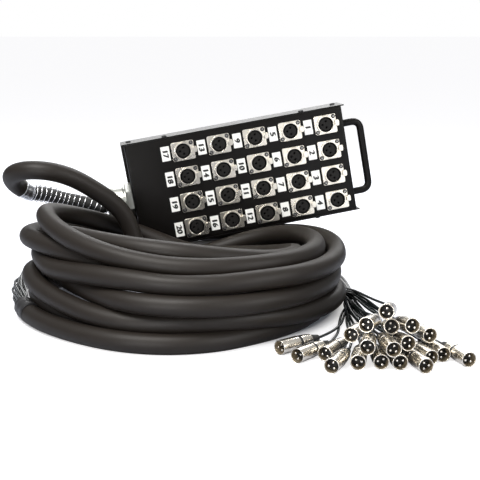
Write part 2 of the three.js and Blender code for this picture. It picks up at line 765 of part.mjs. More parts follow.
// The plugs lie against each other: any two that would overlap are moved apart, and none goes below the floor
function settledPlugs() {
  const bodies = plugPlaces.map(([x, y, z, heading]) => {
    const front = new THREE.Vector3(x, y, z);
    const along = new THREE.Vector3(Math.cos(rad(heading)), Math.sin(rad(heading)), 0);
    return { front, rear: front.clone().addScaledVector(along, plugLength) };
  });
  const beads = plugBeads;
  const reach = (share) => {
    const shellShare = (share * plugLength - plugBarrel - plugNeckLength) / plugShell;
    if (shellShare > 1) return bootRadius;
    return shellShare < 0 ? plugRadius : plugShellRadius + (plugShellEnd - plugShellRadius) * shellShare;
  };
  for (let pass = 0; pass < plugPasses; pass += 1) {
    for (let i = 0; i < bodies.length; i += 1) {
      for (let j = i + 1; j < bodies.length; j += 1) {
        for (let a = 0; a <= beads; a += 1) {
          for (let b = 0; b <= beads; b += 1) {
            const here = bodies[i].front.clone().lerp(bodies[i].rear, a / beads);
            const there = bodies[j].front.clone().lerp(bodies[j].rear, b / beads);
            const apart = here.distanceTo(there);
            const short = reach(a / beads) + reach(b / beads) + 2 * seat - apart;
            if (short > 0) {
              const push = here.sub(there).multiplyScalar(short * plugGiveShare / apart);
              bodies[i].front.addScaledVector(push, 1 - a / beads);
              bodies[i].rear.addScaledVector(push, a / beads);
              bodies[j].front.addScaledVector(push, b / beads - 1);
              bodies[j].rear.addScaledVector(push, -b / beads);
            }
          }
        }
      }
    }
    for (const body of bodies) {
      body.front.z = Math.max(body.front.z, plugRadius);
      body.rear.z = Math.max(body.rear.z, plugRadius);
      const along = body.rear.clone().sub(body.front).normalize();
      body.rear.copy(body.front).addScaledVector(along, plugLength);
    }
  }
  return bodies;
}
const plugs = settledPlugs();

// Tails: from the bundle's face to each boot, kept clear of each other and of the plugs
const fanOrder = [
  { node: 'plugs_01_02', pair: [1, 2], around: 180 },
  { node: 'plugs_03_04', pair: [3, 4], around: 220 },
  { node: 'plugs_05_12', pair: [5, 12], around: 260 },
  { node: 'plugs_13_17', pair: [13, 17], around: 300 },
  { node: 'plugs_18_19', pair: [18, 19], around: 340 },
  { node: 'plugs_16_20', pair: [16, 20], around: 20 },
  { node: 'plugs_06_10', pair: [6, 10], around: 140 },
  { node: 'plugs_07_09', pair: [7, 9], around: 100 },
  { node: 'plugs_08_14', pair: [8, 14], around: 60 },
  { node: 'plugs_11_15', pair: [11, 15], around: 0, middle: true },
];

function settledTails() {
  const across = new THREE.Vector3(-fanHeading.y, fanHeading.x, 0);
  const tails = fanOrder.flatMap(({ pair, around, middle }, group) => pair.map((number) => {
    const start = fanFace.clone().addScaledVector(fanHeading, seat);
    const out = middle ? 0 : bundleRadius - tail / 2 - seat;
    start.addScaledVector(across, out * Math.cos(rad(around)));
    start.z += out * Math.sin(rad(around));
    const { front, rear } = plugs[number - 1];
    const along = rear.clone().sub(front).normalize();
    const gap = rear.distanceTo(start) / 3;
    const lean = start.clone().addScaledVector(fanHeading, gap);
    const end = rear.clone().addScaledVector(along, -seat);
    const curve = new THREE.CubicBezierCurve3(start, lean, rear.clone().addScaledVector(along, gap), end);
    return { number, group, chain: curve.getPoints(tailSteps) };
  }));
  const bodyShare = 1 - bootLength / plugLength;
  const beads = Array.from({ length: plugBeads + 1 }, (unused, step) => step / plugBeads);
  const obstacles = plugs.flatMap(({ front, rear }, index) => beads.map((share) => ({
    number: index + 1,
    place: front.clone().lerp(rear, share),
    radius: share > bodyShare ? bootRadius : plugRadius,
  })));
  for (let pass = 0; pass < tailPasses; pass += 1) {
    for (let i = 0; i < tails.length; i += 1) {
      const mine = tails[i].chain;
      for (let j = i + 1; j < tails.length; j += 1) {
        const first = tails[i].group === tails[j].group ? pairSteps : 1;
        for (let a = first; a < tailSteps; a += 1) {
          for (let b = first; b < tailSteps; b += 1) {
            const here = mine[a];
            const there = tails[j].chain[b];
            const apart = here.distanceTo(there);
            const short = tail + 3 * seat - apart;
            if (short > 0) {
              const push = here.clone().sub(there).multiplyScalar(short * tailGiveShare / apart);
              here.add(push);
              there.sub(push);
            }
          }
        }
      }
      for (const { number, place, radius } of obstacles) {
        if (number !== tails[i].number) {
          for (let a = 1; a < tailSteps; a += 1) {
            const short = radius + tail / 2 + 2 * seat - mine[a].distanceTo(place);
            if (short > 0) mine[a].add(mine[a].clone().sub(place).setLength(2 * tailGiveShare * short));
          }
        }
      }
      for (let a = 1; a < tailSteps; a += 1) mine[a].z = Math.max(mine[a].z, tail / 2);
      const kept = mine.map((point) => point.clone());
      if (pass < tailPasses - tailFinish) {
        for (let a = 2; a + 1 < tailSteps; a += 1) {
          mine[a].lerp(kept[a - 1].clone().add(kept[a + 1]).multiplyScalar(1 / 2), tailSmoothShare);
        }
      }
    }
  }
  return tails;
}

// Plug: ring and barrel with a dark bore, dark collar, rear shell and a tapering boot; pins stand in the bore
function makePlug({ front, rear }) {
  const shellStart = plugBarrel + plugNeckLength;
  const bootStart = shellStart + plugShell;
  let plug = solid(turned([
    [0, plugBoreDepth],
    [plugBore, plugBoreDepth],
    [plugBore, 0],
    [plugRadius, 0],
    [plugRadius, plugBarrel],
    [plugNeck, plugBarrel],
    [plugNeck, shellStart],
    [plugShellRadius, shellStart],
    [plugShellEnd, bootStart],
    [bootRadius, bootStart],
    [bootEnd, bootStart + bootLength],
    [0, bootStart + bootLength],
  ], plugSides));
  for (const turn of pinTurns) {
    const pin = new THREE.CylinderGeometry(pinRadius, pinRadius, pinLength, pinSides).rotateX(rad(90));
    const across = pinCircle * Math.cos(rad(turn));
    const over = pinCircle * Math.sin(rad(turn));
    pin.translate(across, over, plugBoreDepth - pinLength / 2 + seat);
    plug = plug.add(solid(pin));
  }
  const along = rear.clone().sub(front).normalize();
  const turn = new THREE.Quaternion().setFromUnitVectors(new THREE.Vector3(0, 0, 1), along);
  const place = new THREE.Matrix4().compose(front, turn, new THREE.Vector3(1, 1, 1));
  return solid(geometryOf(plug).applyMatrix4(place));
}

const tails = settledTails();
fanOrder.forEach(({ node, pair }, group) => {
  let joined = null;
  for (const { number, chain } of tails.filter((entry) => entry.group === group)) {
    const curve = new THREE.CatmullRomCurve3(chain, false, 'centripetal');
    const { front, rear } = plugs[number - 1];
    const intoBoot = front.clone().sub(rear).normalize();
    const route = squared(curve.getSpacedPoints(tailStretches), fanHeading, intoBoot);
    const cord = solid(sweep(route, tail / 2, tailSides));
    const one = makePlug(plugs[number - 1]).add(cord);
    joined = joined ? joined.add(one) : one;
  }
  whole.add(named(node, geometryOf(joined), finish.nickel));
});

// The frame: the middle of the box and the plugs, without the free cables
const cordNames = ['coil', 'lead', 'tail_bundle', 'spring', 'ferrule', 'gland_body', 'breakout_sleeve'];
const solidBox = new THREE.Box3();
whole.updateMatrixWorld(true);
whole.traverse((item) => {
  const onCord = cordNames.includes(item.name) || item.name.startsWith('plugs_');
  if (item.isMesh && !onCord) solidBox.expandByObject(item, true);
});
const shift = solidBox.getCenter(new THREE.Vector3());
whole.position.copy(shift).negate();

export default whole;
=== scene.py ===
"""Looks of the stage box snake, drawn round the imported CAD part. Lengths are millimetres in the floor frame
(x right, y away from the viewer, z up, middle of the coil on the floor) until place() makes them metres."""
import math

import bpy
import numpy as np
from mathutils import Matrix, Vector


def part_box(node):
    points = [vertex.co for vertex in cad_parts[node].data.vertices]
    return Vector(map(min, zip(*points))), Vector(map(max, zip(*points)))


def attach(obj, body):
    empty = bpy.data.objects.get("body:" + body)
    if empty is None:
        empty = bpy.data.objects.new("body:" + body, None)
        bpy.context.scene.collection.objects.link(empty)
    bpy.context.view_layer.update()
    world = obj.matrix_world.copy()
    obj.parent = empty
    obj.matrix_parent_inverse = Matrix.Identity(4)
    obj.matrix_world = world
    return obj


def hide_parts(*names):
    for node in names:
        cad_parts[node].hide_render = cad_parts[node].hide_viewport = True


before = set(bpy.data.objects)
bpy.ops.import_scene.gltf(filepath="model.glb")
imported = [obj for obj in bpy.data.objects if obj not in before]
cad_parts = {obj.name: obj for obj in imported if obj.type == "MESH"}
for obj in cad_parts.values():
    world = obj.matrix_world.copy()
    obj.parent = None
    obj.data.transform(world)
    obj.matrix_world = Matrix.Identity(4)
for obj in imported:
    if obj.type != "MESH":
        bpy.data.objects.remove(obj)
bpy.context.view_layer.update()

# Front tray: the panel and its two end walls, folded from one steel sheet and powder coated black.
# The sockets' holes are punched through it. The box stands on its long edge against the coil, handle end
# raised, and its own frame has x along the panel, y into the box and z up the panel.
BOX_LENGTH, BOX_HEIGHT, BOX_DEPTH = 312.0, 149.0, 52.0
BOX_CENTRE = np.array([80.2, 153.1, 147.1])
BOX_YAW, BOX_ROLL, BOX_LEAN = 7.5, 9.7, 1.2
SHEET, FOLD = 1.6, 2.4
OVERHANG, SEAT = 4.0, 0.3
TRAY_LENGTH = BOX_LENGTH - 2 * OVERHANG
TRAY_HEIGHT = BOX_HEIGHT - 2 * (SHEET + SEAT)
TRAY_DEPTH = BOX_DEPTH - SHEET - SEAT
SOCKETS, ROWS = 20, 4
PITCH_ALONG, PITCH_UP = 50, 35.5
GRID_SHIFT, GRID_DROP = 25.9, 1.4
PANEL_HOLE, HOLE_DEPTH = 12.3, 6


def turn_about(axis, degrees):
    """Rotation matrix about a named axis."""
    return np.array(Matrix.Rotation(math.radians(degrees), 3, axis))


BOX_TURN = turn_about("Z", BOX_YAW) @ turn_about("Y", -BOX_ROLL) @ turn_about("X", -BOX_LEAN)


def on_box(points):
    """Box frame to floor frame: the point turned by lean, roll and yaw, then moved to the box's middle."""
    return np.asarray(points, float) @ BOX_TURN.T + BOX_CENTRE


# The row frame's origin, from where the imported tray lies
tray_low, tray_high = (np.array(corner) * 1000 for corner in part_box("front_tray"))
SHIFT = on_box([[0, TRAY_DEPTH / 2, 0]])[0] - (tray_low + tray_high) / 2


def place(points):
    """Floor frame in millimetres to the row frame in metres: (point - shift) / 1000."""
    return (np.asarray(points, float) - SHIFT) * 0.001


def group_surface():
    """Node group: fine bump and uneven roughness, both from noise. Its inputs are grain (per metre), bump,
    roughness and spread."""
    group = bpy.data.node_groups.new("surface", "ShaderNodeTree")
    face = group.interface
    for name, value in (("grain", 900.0), ("bump", 0.1), ("roughness", 0.4), ("spread", 0.1)):
        socket = face.new_socket(name, in_out="INPUT", socket_type="NodeSocketFloat")
        socket.default_value = value
    face.new_socket("roughness", in_out="OUTPUT", socket_type="NodeSocketFloat")
    face.new_socket("normal", in_out="OUTPUT", socket_type="NodeSocketVector")
    face.new_socket("patches", in_out="OUTPUT", socket_type="NodeSocketFloat")
    nodes, links = group.nodes, group.links
    given = nodes.new("NodeGroupInput")
    out = nodes.new("NodeGroupOutput")
    where = nodes.new("ShaderNodeTexCoord")
    fine = nodes.new("ShaderNodeTexNoise")
    fine.inputs["Detail"].default_value = 4
    wide = nodes.new("ShaderNodeTexNoise")
    wide.inputs["Scale"].default_value = 28
    wide.inputs["Detail"].default_value = 6
    wide.inputs["Roughness"].default_value = 0.65
    links.new(where.outputs["Object"], fine.inputs["Vector"])
    links.new(where.outputs["Object"], wide.inputs["Vector"])
    links.new(given.outputs["grain"], fine.inputs["Scale"])
    bump = nodes.new("ShaderNodeBump")
    bump.inputs["Distance"].default_value = 0.0004
    links.new(fine.outputs["Fac"], bump.inputs["Height"])
    links.new(given.outputs["bump"], bump.inputs["Strength"])
    centred = nodes.new("ShaderNodeMath")
    centred.operation = "SUBTRACT"
    centred.inputs[1].default_value = 0.5
    links.new(wide.outputs["Fac"], centred.inputs[0])
    scaled = nodes.new("ShaderNodeMath")
    scaled.operation = "MULTIPLY_ADD"
    links.new(centred.outputs[0], scaled.inputs[0])
    links.new(given.outputs["spread"], scaled.inputs[1])
    links.new(given.outputs["roughness"], scaled.inputs[2])
    links.new(scaled.outputs[0], out.inputs["roughness"])
    links.new(bump.outputs["Normal"], out.inputs["normal"])
    links.new(wide.outputs["Fac"], out.inputs["patches"])
    return group


SURFACE = group_surface()


def material(name, colour, roughness=0.4, metal=0.0, grain=900.0, bump=0.1, spread=0.1, tone=0.12, shine=0.5):
    """A principled material whose colour drifts by the share tone and whose surface comes from the group."""
    made = bpy.data.materials.new(name)
    made.use_nodes = True
    nodes, links = made.node_tree.nodes, made.node_tree.links
    shader = nodes["Principled BSDF"]
    surface = nodes.new("ShaderNodeGroup")
    surface.node_tree = SURFACE
    for key, value in (("grain", grain), ("bump", bump), ("roughness", roughness), ("spread", spread)):
        surface.inputs[key].default_value = value
    mix = nodes.new("ShaderNodeMix")
    mix.data_type = "RGBA"
    mix.inputs["A"].default_value = (*[channel * (1 - tone) for channel in colour], 1)
    mix.inputs["B"].default_value = (*[min(1, channel * (1 + tone)) for channel in colour], 1)
    links.new(surface.outputs["patches"], mix.inputs["Factor"])
    links.new(mix.outputs["Result"], shader.inputs["Base Color"])
    links.new(surface.outputs["roughness"], shader.inputs["Roughness"])
    links.new(surface.outputs["normal"], shader.inputs["Normal"])
    shader.inputs["Metallic"].default_value = metal
    shader.inputs["Specular IOR Level"].default_value = shine
    return made


def piece(name, verts, faces, skin, slot, body="snake", sharp=38, spot=(), second=None):
    """Makes an object of a surface in the floor frame. Faces whose number is in spot take the second
    material."""
    mesh = bpy.data.meshes.new(name)
    mesh.from_pydata(place(verts).tolist(), [], [tuple(int(i) for i in face) for face in faces])
    mesh.materials.append(skin)
    if second is not None:
        mesh.materials.append(second)
        for number in spot:
            mesh.polygons[number].material_index = 1
    mesh.shade_smooth()
    mesh.set_sharp_from_angle(angle=math.radians(sharp))
    made = bpy.data.objects.new(name, mesh)
    bpy.context.scene.collection.objects.link(made)
    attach(made, body)
    return made


class Shape:
    """A growing list of vertices and faces, with the face numbers that take the second material."""

    def __init__(self):
        self.verts = []
        self.faces = []
        self.spot = []
        self.count = 0

    def add(self, part, spot=False, move=None):
        """Adds a surface, moved first. spot: True, or the numbers of its faces that take the second
        material."""
        verts, faces = part
        verts = np.asarray(verts, float)
        if move is not None:
            verts = move(verts)
        chosen = range(len(faces)) if spot is True else spot or ()
        self.spot.extend([len(self.faces) + number for number in chosen])
        self.faces.extend([tuple(i + self.count for i in face) for face in faces])
        self.verts.append(verts)
        self.count += len(verts)
        return self

    def whole(self):
        """Vertices and faces of all that was added."""
        return np.concatenate(self.verts), self.faces

    def make(self, name, skin, slot, second=None, turn=None, **more):
        """Makes the piece, its vertices turned first."""
        verts, faces = self.whole()
        if turn is not None:
            verts = turn(verts)
        return piece(name, verts, faces, skin, slot, spot=self.spot, second=second, **more)


def lathe(profile, sides=32, wave=None):
    """Turns a profile of (radius, height) about +Z: x = r cos a, y = r sin a, z = h. A ring on the axis is
    one point. wave(angles, height) scales the radius."""
    radius, height = np.asarray(profile, float).T
    angles = np.arange(sides) * 2 * math.pi / sides
    scale = np.ones((len(radius), sides))
    if wave is not None:
        scale = np.array([wave(angles, up) for up in height])
    reach = radius[:, None] * scale
    grid = np.stack([reach * np.cos(angles), reach * np.sin(angles), height[:, None] + 0 * angles], -1)
    on_axis = (radius < 1e-6)[:, None]
    turn = np.arange(sides)[None]
    size = np.where(on_axis, 1, sides)
    rings = np.cumsum(size)[:, None] - size + np.where(on_axis, 0, turn)
    after = np.roll(rings, -1, axis=1)
    corners = np.stack([rings[:-1], after[:-1], after[1:], rings[1:]], -1).reshape(-1, 4).tolist()
    faces = [tuple(c for i, c in enumerate(face) if c != face[i - 1]) for face in corners]
    return grid[~(on_axis & (turn > 0))], [face for face in faces if len(face) > 2]


def plate(loops, thickness, bevel=0.3, steps=2):
    """A flat sheet with holes: the first loop is the outline, the rest are holes, in XY, from z = 0 to its
    thickness. Its rims are rounded by bevel."""
    curve = bpy.data.curves.new("plate", "CURVE")
    curve.dimensions = "2D"
    curve.fill_mode = "BOTH"
    curve.extrude = thickness / 2 - bevel
    curve.bevel_depth = bevel
    curve.bevel_resolution = steps
    curve.offset = -bevel
    for loop in loops:
        spline = curve.splines.new("POLY")
        spline.points.add(len(loop) - 1)
        for point, (x, y) in zip(spline.points, loop):
            point.co = (x, y, 0, 1)
        spline.use_cyclic_u = True
    holder = bpy.data.objects.new("plate", curve)
    bpy.context.scene.collection.objects.link(holder)
    graph = bpy.context.evaluated_depsgraph_get()
    mesh = bpy.data.meshes.new_from_object(holder.evaluated_get(graph))
    verts = np.array([v.co[:] for v in mesh.vertices]) + [0, 0, thickness / 2]
    faces = [tuple(p.vertices) for p in mesh.polygons]
    bpy.data.objects.remove(holder)
    bpy.data.curves.remove(curve)
    bpy.data.meshes.remove(mesh)
    return verts, faces


def channel(width, depth, length, steps=8):
    """A folded channel, drawn out along z: a web at y = 0, a quarter circle of radius FOLD at each fold, and
    two walls to y = depth."""
    half, inner = width / 2, FOLD - SHEET

    def arc(x, radius, first, last):
        turns = np.radians(np.linspace(first, last, steps))
        return [(x + radius * math.cos(a), FOLD + radius * math.sin(a)) for a in turns]

    loop = [(-half, depth)] + arc(-half + FOLD, FOLD, 180, 270) + arc(half - FOLD, FOLD, 270, 360)
    loop += [(half, depth), (half - SHEET, depth)]
    loop += arc(half - FOLD, inner, 360, 270) + arc(-half + FOLD, inner, 270, 180) + [(-half + SHEET, depth)]
    verts, faces = plate([loop], length, 0.25, 1)
    return verts - [0, 0, length / 2], faces


def facing(x, z):
    """Moves a shape drawn in XY with +Z towards the viewer onto the panel: X along the box, Y up, Z out."""
    def move(verts):
        verts = np.asarray(verts, float)
        return np.stack([verts[:, 0] + x, -verts[:, 2], verts[:, 1] + z], 1)
    return move


def socket_place(number):
    """Number 1 is at the top beside the handle, numbers run down each column."""
    column, row = ROWS - (number - 1) // ROWS, (number - 1) % ROWS
    return GRID_SHIFT + (column - 2) * PITCH_ALONG, (1.5 - row) * PITCH_UP - GRID_DROP


POWDER = material("powder_coat", (0.0042, 0.0036, 0.0032), 0.36, grain=1600, bump=0.2, spread=0.12,
                  shine=0.17)
# Near-black: the real black insulator at the bottom of each plug's cup, and painted shade lining the socket
# inserts' contact holes.
INSULATOR_AND_SHADE = material("insulator_black_and_painted_shade", (0.006, 0.006, 0.006), 0.6, bump=0.0)

holes = Shape()
for number in range(1, SOCKETS + 1):
    x, z = socket_place(number)
    punch = [(0, -HOLE_DEPTH), (PANEL_HOLE, -HOLE_DEPTH), (PANEL_HOLE, HOLE_DEPTH), (0, HOLE_DEPTH)]
    holes.add(lathe(punch, 28), move=facing(x, z))
tray = Shape().add(channel(TRAY_LENGTH, TRAY_DEPTH, TRAY_HEIGHT))
tray = tray.make("front_tray_skin", POWDER, "powder", turn=on_box)
cutter = holes.make("cutter", INSULATOR_AND_SHADE, "powder", turn=on_box)
cut = tray.modifiers.new("holes", "BOOLEAN")
cut.object = cutter
cut.solver = "EXACT"
graph = bpy.context.evaluated_depsgraph_get()
drilled = bpy.data.meshes.new_from_object(tray.evaluated_get(graph))
tray.modifiers.clear()
tray.data = drilled
drilled.shade_smooth()
drilled.set_sharp_from_angle(angle=math.radians(38))
bpy.data.objects.remove(cutter)
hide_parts("front_tray")


# Back cover: top, back and bottom plate, folded from a second sheet with the same black coat.
# It slides over the tray from behind and stands past it by a few millimetres at both ends.
def laid_over(verts):
    """The channel's web becomes the back plate: x to z, y to BOX_DEPTH - y, z to x."""
    return on_box(np.stack([verts[:, 2], BOX_DEPTH - verts[:, 1], verts[:, 0]], 1))


cover = Shape().add(channel(BOX_HEIGHT, BOX_DEPTH, BOX_LENGTH))
cover = cover.make("back_cover_skin", POWDER, "powder", turn=laid_over)
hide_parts("back_cover")

# Case screws: blackened steel pan heads with a cross, four above and four below.
# They go through the cover into the tray's tabs.
CASE_SCREW_PLACES = ((-145, 24), (-96, 6), (96, 6), (145, 26))
CASE_HEAD_RADIUS, CASE_HEAD_HEIGHT = 3.6, 2.1
SCREW = material("screw_black", (0.010, 0.010, 0.011), 0.42, metal=0.2, bump=0.02)


def rounded(points, radii, steps=4):
    """A chain of 2-D points whose corners become parabolas: (1-t)^2 a + 2 t (1-t) corner + t^2 b.
    radii: one number, or one for each point."""
    points = [np.array(p, float) for p in points]
    if np.isscalar(radii):
        radii = [radii] * len(points)
    chain = [points[0]]
    for before, here, after, radius in zip(points, points[1:], points[2:], radii[1:]):
        a, b = before - here, after - here
        reach = min(radius, 0.45 * np.linalg.norm(a), 0.45 * np.linalg.norm(b))
        if reach < 1e-3:
            chain.append(here)
            continue
        a, b = here + a / np.linalg.norm(a) * reach, here + b / np.linalg.norm(b) * reach
        for step in range(steps + 1):
            t = step / steps
            chain.append((1 - t) ** 2 * a + 2 * t * (1 - t) * here + t * t * b)
    chain.append(points[-1])
    return np.array(chain)


def oblong(length, height, corner, middle=(0, 0), steps=5):
    """Outline of a rectangle with round corners, counter-clockwise."""
    loop = []
    for quarter, (sx, sy) in enumerate(((1, 1), (-1, 1), (-1, -1), (1, -1))):
        for step in range(steps + 1):
            angle = math.radians(90 * (quarter + step / steps))
            loop.append((middle[0] + sx * (length / 2 - corner) + corner * math.cos(angle),
                         middle[1] + sy * (height / 2 - corner) + corner * math.sin(angle)))
    return loop


def block(low, high, bevel=0.3):
    """A box with rounded rims between two corners."""
    (x0, y0, z0), (x1, y1, z1) = low, high
    outline = oblong(x1 - x0, y1 - y0, bevel, ((x0 + x1) / 2, (y0 + y1) / 2), 1)
    verts, faces = plate([outline], z1 - z0, bevel, 1)
    return verts + [0, 0, z0], faces


def pan_head(radius, height):
    """A dome on the plane z = 0, turned from its profile, and a cross of two bars, which are the spot."""
    dome = [(radius, 0), (radius, height * .55), (radius * .7, height), (0, height)]
    shape = Shape().add(lathe(rounded(dome, [0, .5, 1, 0], 4), 24))
    arm, thin = radius * 0.62, radius * .12
    for turn in (20, 110):
        spin = turn_about("Z", turn)
        bar = block((-arm, -thin, height - .1), (arm, thin, height + .05), 0.04)
        shape.add(bar, spot=True, move=lambda v, spin=spin: v @ spin.T)
    return shape


def on_long_edge(x, y, side):
    """Moves a shape drawn in XY with +Z outwards onto the top plate (side 1) or the bottom plate (-1)."""
    return lambda v: np.stack([v[:, 0] + x, y + v[:, 1] * side, side * (BOX_HEIGHT / 2 + v[:, 2])], 1)


case_screws = Shape()
for side in (1, -1):
    for x, y in CASE_SCREW_PLACES:
        case_screws.add(pan_head(CASE_HEAD_RADIUS, CASE_HEAD_HEIGHT).whole(), move=on_long_edge(x, y, side))
case_screws = case_screws.make("case_screws", SCREW, "powder", turn=on_box)

# Handle: one round steel bar, bent square at two corners and coated black like the box.
# A turned foot at each end stands on the right end wall, screwed from inside.
HANDLE_SPAN, HANDLE_MIDDLE, HANDLE_REACH, HANDLE_BEND, BAR_RADIUS = 98, -3, 27, 18, 5.0


def evenly(path, count):
    """The same chain with evenly spaced points."""
    reach = np.concatenate([[0], np.cumsum(np.linalg.norm(np.diff(path, axis=0), axis=1))])
    want = np.linspace(0, reach[-1], count)
    return np.stack([np.interp(want, reach, path[:, axis]) for axis in range(3)], 1)


def frames_along(path):
    """Tangent, across and over at each point of a chain, carried along without twist."""
    path = np.asarray(path, float)
    tangents = np.gradient(path, axis=0)
    tangents /= np.linalg.norm(tangents, axis=1)[:, None]
    across = np.zeros_like(path)
    first = np.cross(tangents[0], (0, 0, 1))
    across[0] = first / np.linalg.norm(first)
    for i in range(1, len(path)):
        flat = across[i - 1] - tangents[i] * np.dot(across[i - 1], tangents[i])
        across[i] = flat / np.linalg.norm(flat)
    return tangents, across, np.cross(across, tangents)


def tube(path, radius, sides=12, lump=None):
    """Surface point = path + radius (cos a across + sin a over). radius: a number or one for each ring.
    lump(ring, angles) adds to the radius. Both ends are closed."""
    path = np.asarray(path, float)
    _, across, over = frames_along(path)
    count = len(path)
    radius = np.broadcast_to(np.asarray(radius, float), (count,))
    angles = np.arange(sides) * 2 * math.pi / sides
    reach = radius[:, None] * np.ones(sides)
    if lump is not None:
        reach = reach + lump(np.arange(count)[:, None], angles[None, :])
    verts = (path[:, None] + across[:, None] * (reach * np.cos(angles))[..., None]
             + over[:, None] * (reach * np.sin(angles))[..., None]).reshape(-1, 3)
    ring = np.arange(count - 1)[:, None] * sides
    side = np.arange(sides)[None, :]
    after = (side + 1) % sides
    faces = np.stack([ring + side, ring + side + sides, ring + after + sides, ring + after], -1)
    faces = faces.reshape(-1, 4).tolist()
    faces.append(list(range(sides)))
    faces.append([(count - 1) * sides + i for i in range(sides)][::-1])
    return verts, faces


foot = TRAY_LENGTH / 2 + SEAT
low, high, out = HANDLE_MIDDLE - HANDLE_SPAN / 2, HANDLE_MIDDLE + HANDLE_SPAN / 2, foot + HANDLE_REACH
bar = [(foot - .2, low), (out, low), (out, high), (foot - .2, high)]
bar = rounded(bar, [0, HANDLE_BEND, HANDLE_BEND, 0], 14)
bar = evenly(np.stack([bar[:, 0], np.full(len(bar), BOX_DEPTH / 2), bar[:, 1]], 1), 120)
handle = Shape().add(tube(on_box(bar), BAR_RADIUS, 24))
disc = lathe(rounded([(4.6, 0), (8.0, 0), (8.0, 1.6), (6.4, 3.0), (4.6, 3.2)], [0, .3, .6, .6, 0], 4), 32)
for height in (low, high):
    handle.add(disc, move=lambda v, height=height: on_box(
        np.stack([v[:, 2] + foot, v[:, 0] + BOX_DEPTH / 2, v[:, 1] + height], 1)))
handle = handle.make("handle_skin", POWDER, "powder")
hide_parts("handle")

# Sockets: a nickel plated die-cast flange with a rimmed barrel, a black moulded insert with three contacts
# and two black screws through opposite corners. The release latch is a stamped tab at the handle's side,
# and it is pushed straight into the panel.
FLANGE_LONG, FLANGE_WIDE, FLANGE_CORNER, FLANGE_THICKNESS, FLANGE_FRONT = 31, 26, 2.2, 2.4, 2.7
FLANGE_SCREWS = ((12.2, 9.6), (-12.2, -9.6))
FLANGE_HEAD_RADIUS, FLANGE_HEAD_HEIGHT = 2.9, 1.4
RIM_FRONT = 5.0
CONTACT_CIRCLE, CONTACT_TURNS = 4.4, (180, 82, 278)
LATCH_THICKNESS, LATCH_BACK = 1.6, 4.5
NICKEL = material("nickel", (0.86, 0.81, 0.71), 0.28, metal=1, grain=2500, bump=0.03, spread=0.14, tone=0.05)
INSERT = material("insert_grey", (0.0075, 0.0068, 0.006), 0.5, grain=1200, bump=0.05, shine=0.22)
# Flange screws' crosses: a lighter metal than the black heads, a painted glint.
CROSS_GLINT = material("screw_cross_painted_glint", (0.42, 0.41, 0.39), 0.3, metal=1, bump=0.0)


def circle(radius, middle=(0, 0), sides=24):
    """Outline of a circle."""
    turn = [2 * math.pi * i / sides for i in range(sides)]
    return [(middle[0] + radius * math.cos(a), middle[1] + radius * math.sin(a)) for a in turn]


def about(radius, degrees):
    """The point at a radius and a turn from the X axis, in XY."""
    return np.array([radius * math.cos(math.radians(degrees)), radius * math.sin(math.radians(degrees)), 0])


contact_spots = [about(CONTACT_CIRCLE, turn) for turn in CONTACT_TURNS]
flange_loops = [oblong(FLANGE_LONG, FLANGE_WIDE, FLANGE_CORNER), circle(11.6, sides=40)]
flange_loops += [circle(1.9, spot, 16) for spot in FLANGE_SCREWS]
flange = plate(flange_loops, FLANGE_THICKNESS, 0.35, 3)
barrel = [(10.6, -14.5), (11.9, -14.5), (11.9, 2.2), (12.4, 2.5), (12.4, RIM_FRONT), (10.3, RIM_FRONT),
          (10.3, -5)]
barrel = lathe(rounded(barrel, [0, .3, .2, .2, .55, .5, 0], 4), 56)
cup_wall = lathe([(10.25, 4.0), (10.25, -5.2), (8.2, -5.2)], 40)
insert_loops = [circle(8.4, sides=48)] + [circle(1.5, spot[:2], 18) for spot in contact_spots]
insert_face = plate(insert_loops, 3.0, 0.35, 2)
insert_wall = lathe([(8.35, 3.6), (8.35, -5.2)], 40)
contact = lathe([(1.5, 2.6), (1.5, -3), (0, -3)], 14)
latch_loop = [(12.9, -3.3), (14.6, -3.3), (15.4, -4.3), (17.4, -4.3), (18.6, -3.2), (18.9, 0), (18.6, 3.2),
              (17.4, 4.3), (15.4, 4.3), (14.6, 3.3), (12.9, 3.3)]
latch_loop = rounded(latch_loop + latch_loop[:1], .8, 3)[:-1].tolist()
for number in range(1, SOCKETS + 1):
    name = f"socket_{number:02d}"
    out = facing(*socket_place(number))
    shell = Shape().add((flange[0] + [0, 0, SEAT], flange[1]), move=out).add(barrel, move=out)
    shell = shell.make(f"{name}_shell", NICKEL, "nickel", turn=on_box)
    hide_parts(name)
    inside = Shape().add(cup_wall, move=out).add((insert_face[0] + [0, 0, 1.2], insert_face[1]), move=out)
    inside.add(insert_wall, move=out)
    # The contact holes are lined with the near-black second material: painted shade inside them.
    for spot in contact_spots:
        inside.add(contact, spot=True, move=lambda v, spot=spot, out=out: out(v + spot))
    inside.make(f"{name}_insert", INSERT, "moulded", turn=on_box, second=INSULATOR_AND_SHADE)
    screws = Shape()
    for (sx, sz), spin in zip(FLANGE_SCREWS, (10 * number, 37 * number)):
        head = pan_head(FLANGE_HEAD_RADIUS, FLANGE_HEAD_HEIGHT)
        turn = turn_about("Z", spin)
        spot = [sx, sz, FLANGE_FRONT - .1]
        screws.add(head.whole(), spot=head.spot,
                   move=lambda v, turn=turn, spot=spot, out=out: out(v @ turn.T + spot))
    # The crosses take the lighter metal: a painted glint.
    screws.make(f"{name}_screws", SCREW, "powder", turn=on_box, second=CROSS_GLINT)
    tab = plate([latch_loop], LATCH_THICKNESS, 0.35, 3)
    latch = Shape().add((tab[0] + [0, 0, LATCH_BACK], tab[1]), move=out)
    latch.add(block((12.9, -2.8, 2.2), (15.2, 2.8, 4.8), 0.3), move=out)
    latch = latch.make(f"latch_{number:02d}_tab", NICKEL, "nickel", turn=on_box, body=f"latch_{number:02d}")
    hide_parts(f"latch_{number:02d}")


